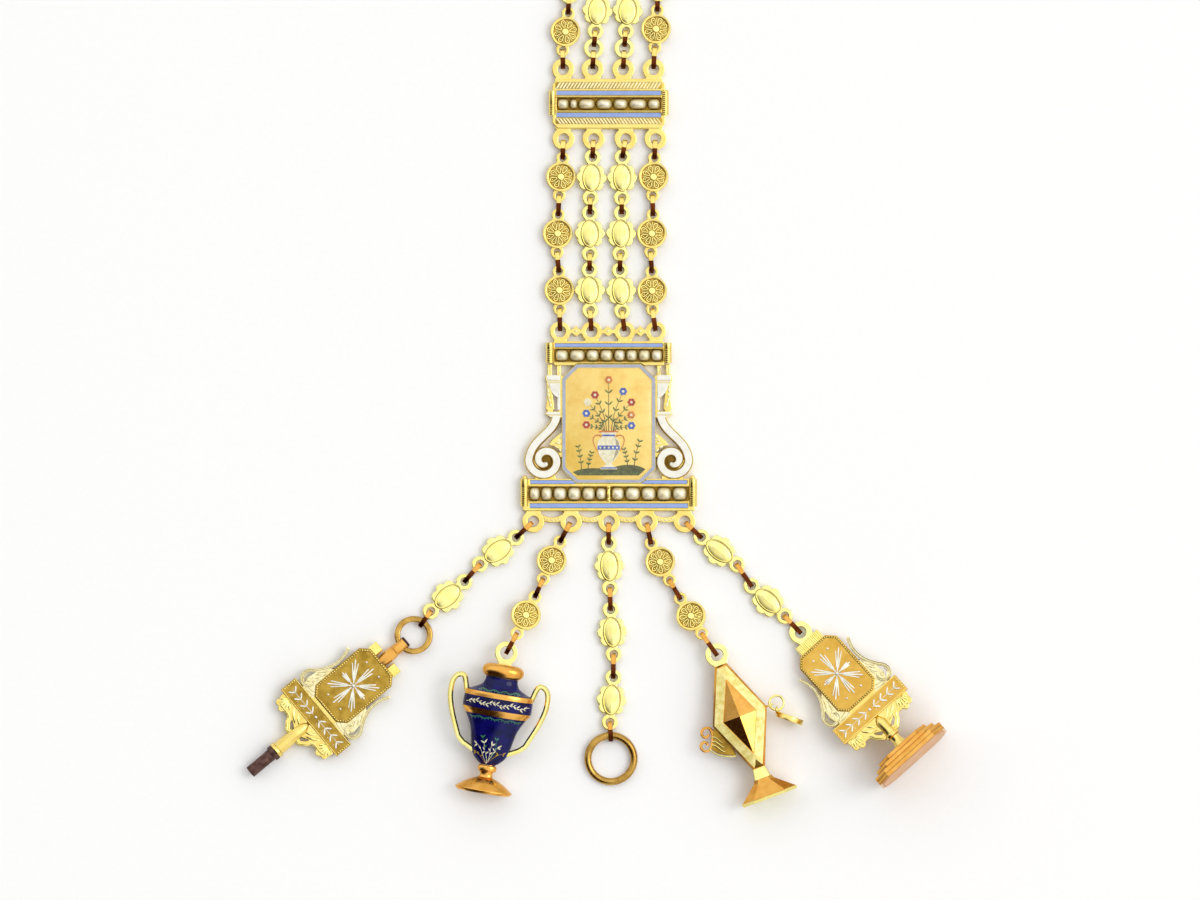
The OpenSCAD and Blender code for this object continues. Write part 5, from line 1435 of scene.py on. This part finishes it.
def makeUrn():
    p = urn
    place = placeMatrix(*p["place"])
    bail = moved(eyePlate(*p["bail"], (0, 0, 1.3, 2.2), (-4.6, -2.4, 1.2, 2.4)), z=p["bailZ"])
    handles = bothSides(sweep(handlePath, boxPoints(0, 0, *p["handle"])), "y")
    makePiece("urnGold", "chain", ["urn_gold"],
              [("buffedOrangeGold", joined(*[urnZone(*zone) for zone in p["goldZones"]])),
               ("burnishedPaleGold", joined(bail, handles))], place)
    paint = {"creamPaint": [], "mattedOldGold": [], "greenEnamelDots": []}
    cream, green = paint["creamPaint"], paint["greenEnamelDots"]   # lists that the loops below add to

    def vineAt(a):
        return p["belt"] + p["vine"] * math.sin(a * 1.9)

    vinePath = [[vineAt(a), a] for a in np.linspace(-5.7, 5.7, 60)]
    cream += [paintedStroke(vinePath[::-1], 0.06), paintedStroke(vinePath, 0.06)]
    for k, a in enumerate(np.arange(-5.2, 5.3, 0.62)):
        side, root = 1 if k % 2 else -1, vineAt(a)
        cream += [draped(leaf((root, a), (root + side * 0.52, a + 0.6), 0.25, 0, 0.08)),
                  draped(leaf((root, a), (root - side * 0.3, a + 0.48), 0.15, 0, 0.07))]
    for name, path, buds in urnStems:
        curve = bezierPoints(*path, 16)
        paint[name] += [paintedStroke(curve, 0.04)] + [draped(leaf(curve[-1], bud, 0.28, 0, 0.07)) for bud in buds]
        paint[name] += [draped(leaf(curve[k], curve[k] + [-0.5, out], 0.24, 0, 0.06))
                        for k, out in ((7, 0.45), (10, -0.4))]
    for s, half in p["garlands"]:
        for k, a in enumerate(np.arange(-half, half + 0.01, p["garlandStep"])):
            dip = 0.14 * math.cos(a * 3.2)
            green.append(draped(bead(s + dip, a, 0, 0.15, 0.09, 7)))
            if k % 2:
                green.append(draped(bead(s + dip + 0.28, a, 0, 0.1, 0.07, 6)))
    makePiece("urnEnamel", "chain", ["urn_enamel"],
              [("cobaltEnamel", joined(*[urnZone(*zone) for zone in p["enamelZones"]]))]
              + [(name, bothSides(joined(*shapes), "z")) for name, shapes in paint.items()], place)


makeUrn()
print("urn made")

# the lozenge charm: faceted lozenge on a square foot, with a scrolled handle, a small ring and a disc

lozenge = {"place": [20.1, -43.4, 2.45, -69.5, 2.0], "length": 19.7, "width": 10.4, "thick": 3.0, "tip": 2.3,
           "bevel": 0.38, "pyramid": [3.0, 2.05, 1.22], "border": [0.5, 0.33, 1.75], "borderRise": [0.01, 0.16],
           "eye": [-1.95, 2.1, 1.1, 0.65], "punch": 0.085, "punchStep": 0.34,
           "neck": [[19.3, 2.2, 2.2], [21.6, 3.0, 2.6]],
           "foot": [[21.6, 3.3, 2.8], [22.2, 3.9, 3.1], [24.9, 10.3, 6.0]],
           "lip": [[24.85, 10.2, 5.9], [24.95, 10.6, 6.2], [25.45, 10.1, 5.4]],
           "ring": [9.85, 7.05, 1.3, 0.42], "disc": [13.3, 8.3, -0.36, 49.5], "discSize": [2.5, 1.2, 1.0, 0.12],
           "smallEye": [0.55, 0.4]}
# curled wires of the side handle, its leaf and the ribs on the leaf
handleCurls = [arcPoints((10.65, -6.75), 1.3, 0.42, 60, 420, 36),
               bezierPoints([10.0, -5.85], [11.6, -5.5], [12.6, -6.3], [13.5, -7.0], 12),
               arcPoints((12.6, -7.65), 1.1, 0.4, 30, -290, 32)]
handleLeaf = np.concatenate([[[9.6, -4.6], [10.9, -5.6], [12.2, -6.0]],
                             bezierPoints([13.4, -6.9], [14.8, -6.3], [15.6, -5.0], [16.1, -3.0], 8), [[12.0, -3.4]]])
handleRibs = [([13.4, -7.15], [14.8, -6.7], [15.8, -5.3], [16.25, -3.1]),
              ([12.9, -6.5], [13.4, -5.4], [14.4, -5.6], [14.9, -4.7]),
              ([12.3, -6.2], [12.8, -5.1], [13.7, -5.3], [14.1, -4.5]),
              ([11.6, -5.9], [12.0, -4.9], [12.8, -5.2], [13.2, -4.6])]


def lozengeOutline(inS, inA, tip):
    # lozenge with blunt ends, kept in from its ends by inS and from its sides by inA
    length, half = lozenge["length"], lozenge["width"] / 2 - inA
    return xy([[inS, -tip / 2], [length / 2, -half], [length - inS, -tip / 2], [length - inS, tip / 2],
               [length / 2, half], [inS, tip / 2]])


def squareTaper(rows, cut=0.1):
    # bar along X that changes width and height: rows of distance, width, height; cut is the share off its corners
    a = 1 - cut
    corners = ((-a, -1), (a, -1), (1, -a), (1, a), (a, 1), (-a, 1), (-1, a), (-1, -a))
    points = np.array([[s, y * w / 2, z * h / 2] for s, w, h in rows for y, z in corners])
    return outward((points, capped(len(rows), 8)))


def lozengeFacets(top):
    # low pyramid in the middle, the sloped border round it, and the punched dots on the border
    p = lozenge
    inS, inA, rise = p["pyramid"]
    base = lozengeOutline(inS, inA, 0.12)
    points = np.concatenate([atHeight(base, top - 0.1), atHeight(base, top + 0.05), [[p["length"] / 2, 0, top + rise]]])
    slopes = [(i + 6, (i + 1) % 6 + 6, 12) for i in range(6)]
    pyramid = outward((points, skin(2, 6) + slopes + [(5, 4, 3, 2, 1, 0)]))
    outer, inner = lozengeOutline(*p["border"]), lozengeOutline(inS - 0.25, inA - 0.1, 0.2)
    low, high = p["borderRise"]
    rows = ((outer, -0.3), (outer, low), (inner, high), (inner, -0.3))
    border = np.concatenate([atHeight(loop, top + z) for loop, z in rows]), skin(4, 6, True)
    toOuter, toInner, step = inside(outer), inside(inner), p["punchStep"]
    dots = []
    for x in np.arange(0.8, 19, step):
        for k, y in enumerate(np.arange(-4.6, 4.7, step)):
            at = np.array([x + step * 0.5 * (k % 2)]), np.array([y + 0.07 * math.sin(x * 9 + y * 5)])
            far, near = -toOuter(*at)[0], toInner(*at)[0]
            if far > 0.14 and near > 0.14:
                z = top + low + (high - low) * far / (far + near) - 0.02
                dots.append(bead(at[0][0], at[1][0], z, p["punch"], 0.07, 6))
    return bothSides(pyramid, "z"), bothSides(border, "z"), bothSides(joined(*dots), "z")


def lozengeStud(top):
    # faceted stud at the lower end of the border
    points = [[18.15, -0.2, -0.1], [18.15, 0.2, -0.1], [19.55, 0.95, -0.1], [19.55, -0.95, -0.1], [18.15, 0, 0.3],
              [19.4, 0.5, 0.12], [19.4, -0.5, 0.12]]
    faces = [(0, 1, 2, 3), (0, 1, 4), (1, 2, 5, 4), (2, 3, 6, 5), (3, 0, 4, 6), (4, 5, 6)]
    return bothSides(outward((np.array(points) + [0, 0, top], faces)), "z")


def makeLozenge():
    p = lozenge
    place = placeMatrix(*p["place"])
    top = p["thick"] / 2
    body = plate(lozengeOutline(0, 0, p["tip"]), -top, top, p["bevel"], steps=1)
    pyramid, border, dots = lozengeFacets(top)
    wires = [tube(atHeight(curl, 0.04 * k), 0.26, sides=10) for k, curl in enumerate(handleCurls)]
    ribs = [tube(atHeight(bezierPoints(*rib, 10), np.linspace(0.3, 0.24, 10)), 0.15) for rib in handleRibs]
    eye = eyePlate(*p["eye"], (0.2, 0, 1.6, 2.2), (-4.4, -2.5, 1.4, 2.5), 0.6)
    x, y, ringRadius, ringWire = p["ring"]
    upright = moved(torus(*p["smallEye"], 24, 10), tip=-90)
    # the handle's leaf is darkened as painted shade, lying in the lozenge's shadow
    makePiece("lozengeBody", "chain", ["lozenge_body"],
              [("buffedOrangeGold", joined(body, *wires)),
               ("unpolishedRecessGold", plate(handleLeaf, -0.42, 0.26, 0.1)),
               ("buffedOrangeGold", joined(pyramid, squareTaper(p["foot"], 0.42)), True),
               ("burnishedPaleGold", squareTaper(p["lip"], 0.42), True),
               ("punchedGreenGold", border, True), ("punchedGreenGold", dots),
               ("tarnishedSeatGold", lozengeStud(top), True),
               ("burnishedPaleGold", joined(eye, *ribs, squareTaper(p["neck"]), moved(upright, x, y - ringRadius)))],
              place)
    makePiece("lozengeRing", "chain", ["lozenge_ring"],
              [("burnishedPaleGold", moved(torus(ringRadius, ringWire, 40), x, y))], place)
    # the disc's own eye sits on the small ring, where the ring is nearest to the disc's rim
    discX, discY, discZ, turn = p["disc"]
    a = math.radians(turn)
    toDisc = np.array([discX - x, discY - y]) - p["discSize"][0] * np.array([math.cos(a), math.sin(a)])
    hold = np.array([x, y]) + ringRadius * toDisc / np.linalg.norm(toDisc)
    discEye = moved(upright, *hold, turn=math.degrees(math.atan2(toDisc[1], toDisc[0])) + 90)
    coin = moved(moved(ringPlate(*p["discSize"]), tip=-90), discX, discY, discZ, turn=turn - 90)
    makePiece("lozengeDisc", "chain", ["lozenge_disc"], [("polishedYellowGold", joined(coin, discEye))], place)


makeLozenge()
print("lozenge made")

# the plain ring that held the watch, and the clasp past the photo's edge

watchRing = {"place": [0.4, -60.25], "inner": 3.5, "wire": 1.3, "heights": [0.66, 0.98], "seam": -70.7}
clasp = {"plate": [1.0, 85.4, 21.0, 4.0, 0.8], "thick": 1.6, "eyes": [[-7.0, -1.8, 3.8, 9.0], 81.8, 1.9, 0.95],
         "edge": [1.0, 84.0, 18.0, 1.4], "ring": [1.0, 91.18, 2.5, 4.0], "lines": [84.1, 86.7]}


def makeWatchRing():
    p = watchRing
    mid = p["inner"] + p["wire"] / 2
    far, near = p["heights"]
    tilt = Matrix.Rotation(math.asin((near - far) / (2 * mid)), 4, "X")
    place = Matrix.Translation(Vector((*p["place"], (far + near) / 2)) * mm) @ tilt
    seam = moved(torus(p["wire"] / 2 - 0.02, 0.09, 24, 6), tip=-90)
    seam = moved(moved(moved(seam, turn=90), mid), turn=p["seam"])
    makePiece("watchRing", "chain", ["watch_ring"],
              [("wornRingGold", torus(mid, p["wire"], 96, 24)), ("unpolishedRecessGold", seam)], place)


def makeClasp():
    p = clasp
    x, y, inner, outer = p["ring"]
    field = without(merged(inside(boxPoints(*p["plate"])), disc(x, y, outer), blend=0.5), disc(x, y, inner))
    back = plate(outlinesOf(field, (-10.4, 82.6, 12.6, 96.0)), 0, p["thick"], 0.2, steps=3)
    eyes = eyeRow(p["eyes"], p["edge"], (-9.6, 79.4, 11.6, 85.2), 0.5, step=0.09)
    lines = [raisedLine([[-8.2, y], [10.2, y]], p["thick"] - 0.02, 0.3, 0.2, count=6) for y in p["lines"]]
    makePiece("claspPlate", "chain", ["clasp"],
              [("polishedYellowGold", joined(back, eyes)), ("burnishedPaleGold", joined(*lines))])


makeWatchRing()
makeClasp()
print("rings and clasp made")

# table, lights, camera

view = {"at": [-1.57, -4.73], "height": 1600, "width": 216, "sensor": 36}


def addObject(name, data):
    thing = bpy.data.objects.new(name, data)
    bpy.context.scene.collection.objects.link(thing)
    return thing


def makeView():
    # the photograph looks straight down: 1200 pixels span 216 mm, here 1.6 m up with a long lens
    camera = bpy.data.cameras.new("camera")
    camera.sensor_width = view["sensor"]
    camera.lens = view["sensor"] * view["height"] / view["width"]
    camera.clip_start, camera.clip_end = 0.05, 60
    holder = addObject("camera", camera)
    holder.location = (view["at"][0] * mm, view["at"][1] * mm, view["height"] * mm)
    bpy.context.scene.camera = holder
    bpy.context.scene.view_settings.view_transform = "Standard"


table = {"size": 12.0, "colour": "#fefdfc", "tooth": "#fbfbf9"}


def makeTable():
    tree, spot = newMaterial("whiteCardTable")   # smooth white card, a faint tooth
    colour = rampOf(tree, noiseOf(tree, spot, 0.8, 2.0), (0.2, table["tooth"]), (0.8, table["colour"]))
    finishMaterial(tree, {"Roughness": 0.9, "Specular IOR Level": 0.1}, {"Base Color": colour})
    mesh = bpy.data.meshes.new("table")
    corners = boxPoints(0, 0, table["size"], table["size"])
    mesh.from_pydata(atHeight(corners).tolist(), [], [(0, 1, 2, 3)])
    mesh.materials.append(materials["whiteCardTable"])
    top = addObject("table", mesh)


softLight = {"sky": 1.24, "darkWay": (-0.56, -0.55, 0.62), "dark": [0.7, 0.88], "darkColour": "#2a1a12",
             "key": 11.0, "keyAt": (1.4, 0.2, 1.9), "keySize": 1.2}


def makeLights():
    # white light tent with a dark gap at the near left, which gives the gold its brown reflections
    world = bpy.data.worlds.new("lightTent")
    bpy.context.scene.world = world
    world.use_nodes = True
    tree = world.node_tree
    tree.nodes.clear()
    way = addNode(tree, "ShaderNodeTexCoord").outputs["Generated"]
    height = addNode(tree, "ShaderNodeSeparateXYZ", links={0: way}).outputs["Z"]
    tent = rampOf(tree, height, (0.0, "#b0aaa2"), (0.22, "#e2e0dc"), (0.6, "#f5f7f9"), (0.9, "#fcfdff"))
    dark = tuple(Vector(softLight["darkWay"]).normalized())
    near = addNode(tree, "ShaderNodeVectorMath", {"operation": "DOT_PRODUCT", 1: dark}, {0: way}).outputs["Value"]
    start, full = softLight["dark"]
    values = {"interpolation_type": "SMOOTHSTEP", "From Min": start, "From Max": full}
    gap = addNode(tree, "ShaderNodeMapRange", values, {"Value": near}).outputs["Result"]
    colour = mixOf(tree, gap, tent, softLight["darkColour"])
    glow = addNode(tree, "ShaderNodeBackground", {"Strength": softLight["sky"]}, {"Color": colour})
    addNode(tree, "ShaderNodeOutputWorld", links={"Surface": glow.outputs[0]})
    light = bpy.data.lights.new("softBox", "AREA")
    light.shape, light.size, light.energy = "DISK", softLight["keySize"], softLight["key"]
    holder = addObject("softBox", light)
    holder.location = softLight["keyAt"]
    holder.rotation_euler = (-Vector(softLight["keyAt"])).to_track_quat("-Z", "Y").to_euler()
    holder.visible_camera = False


makeView()
makeTable()
makeLights()
print("table, lights and camera made")

bpy.context.view_layer.update()
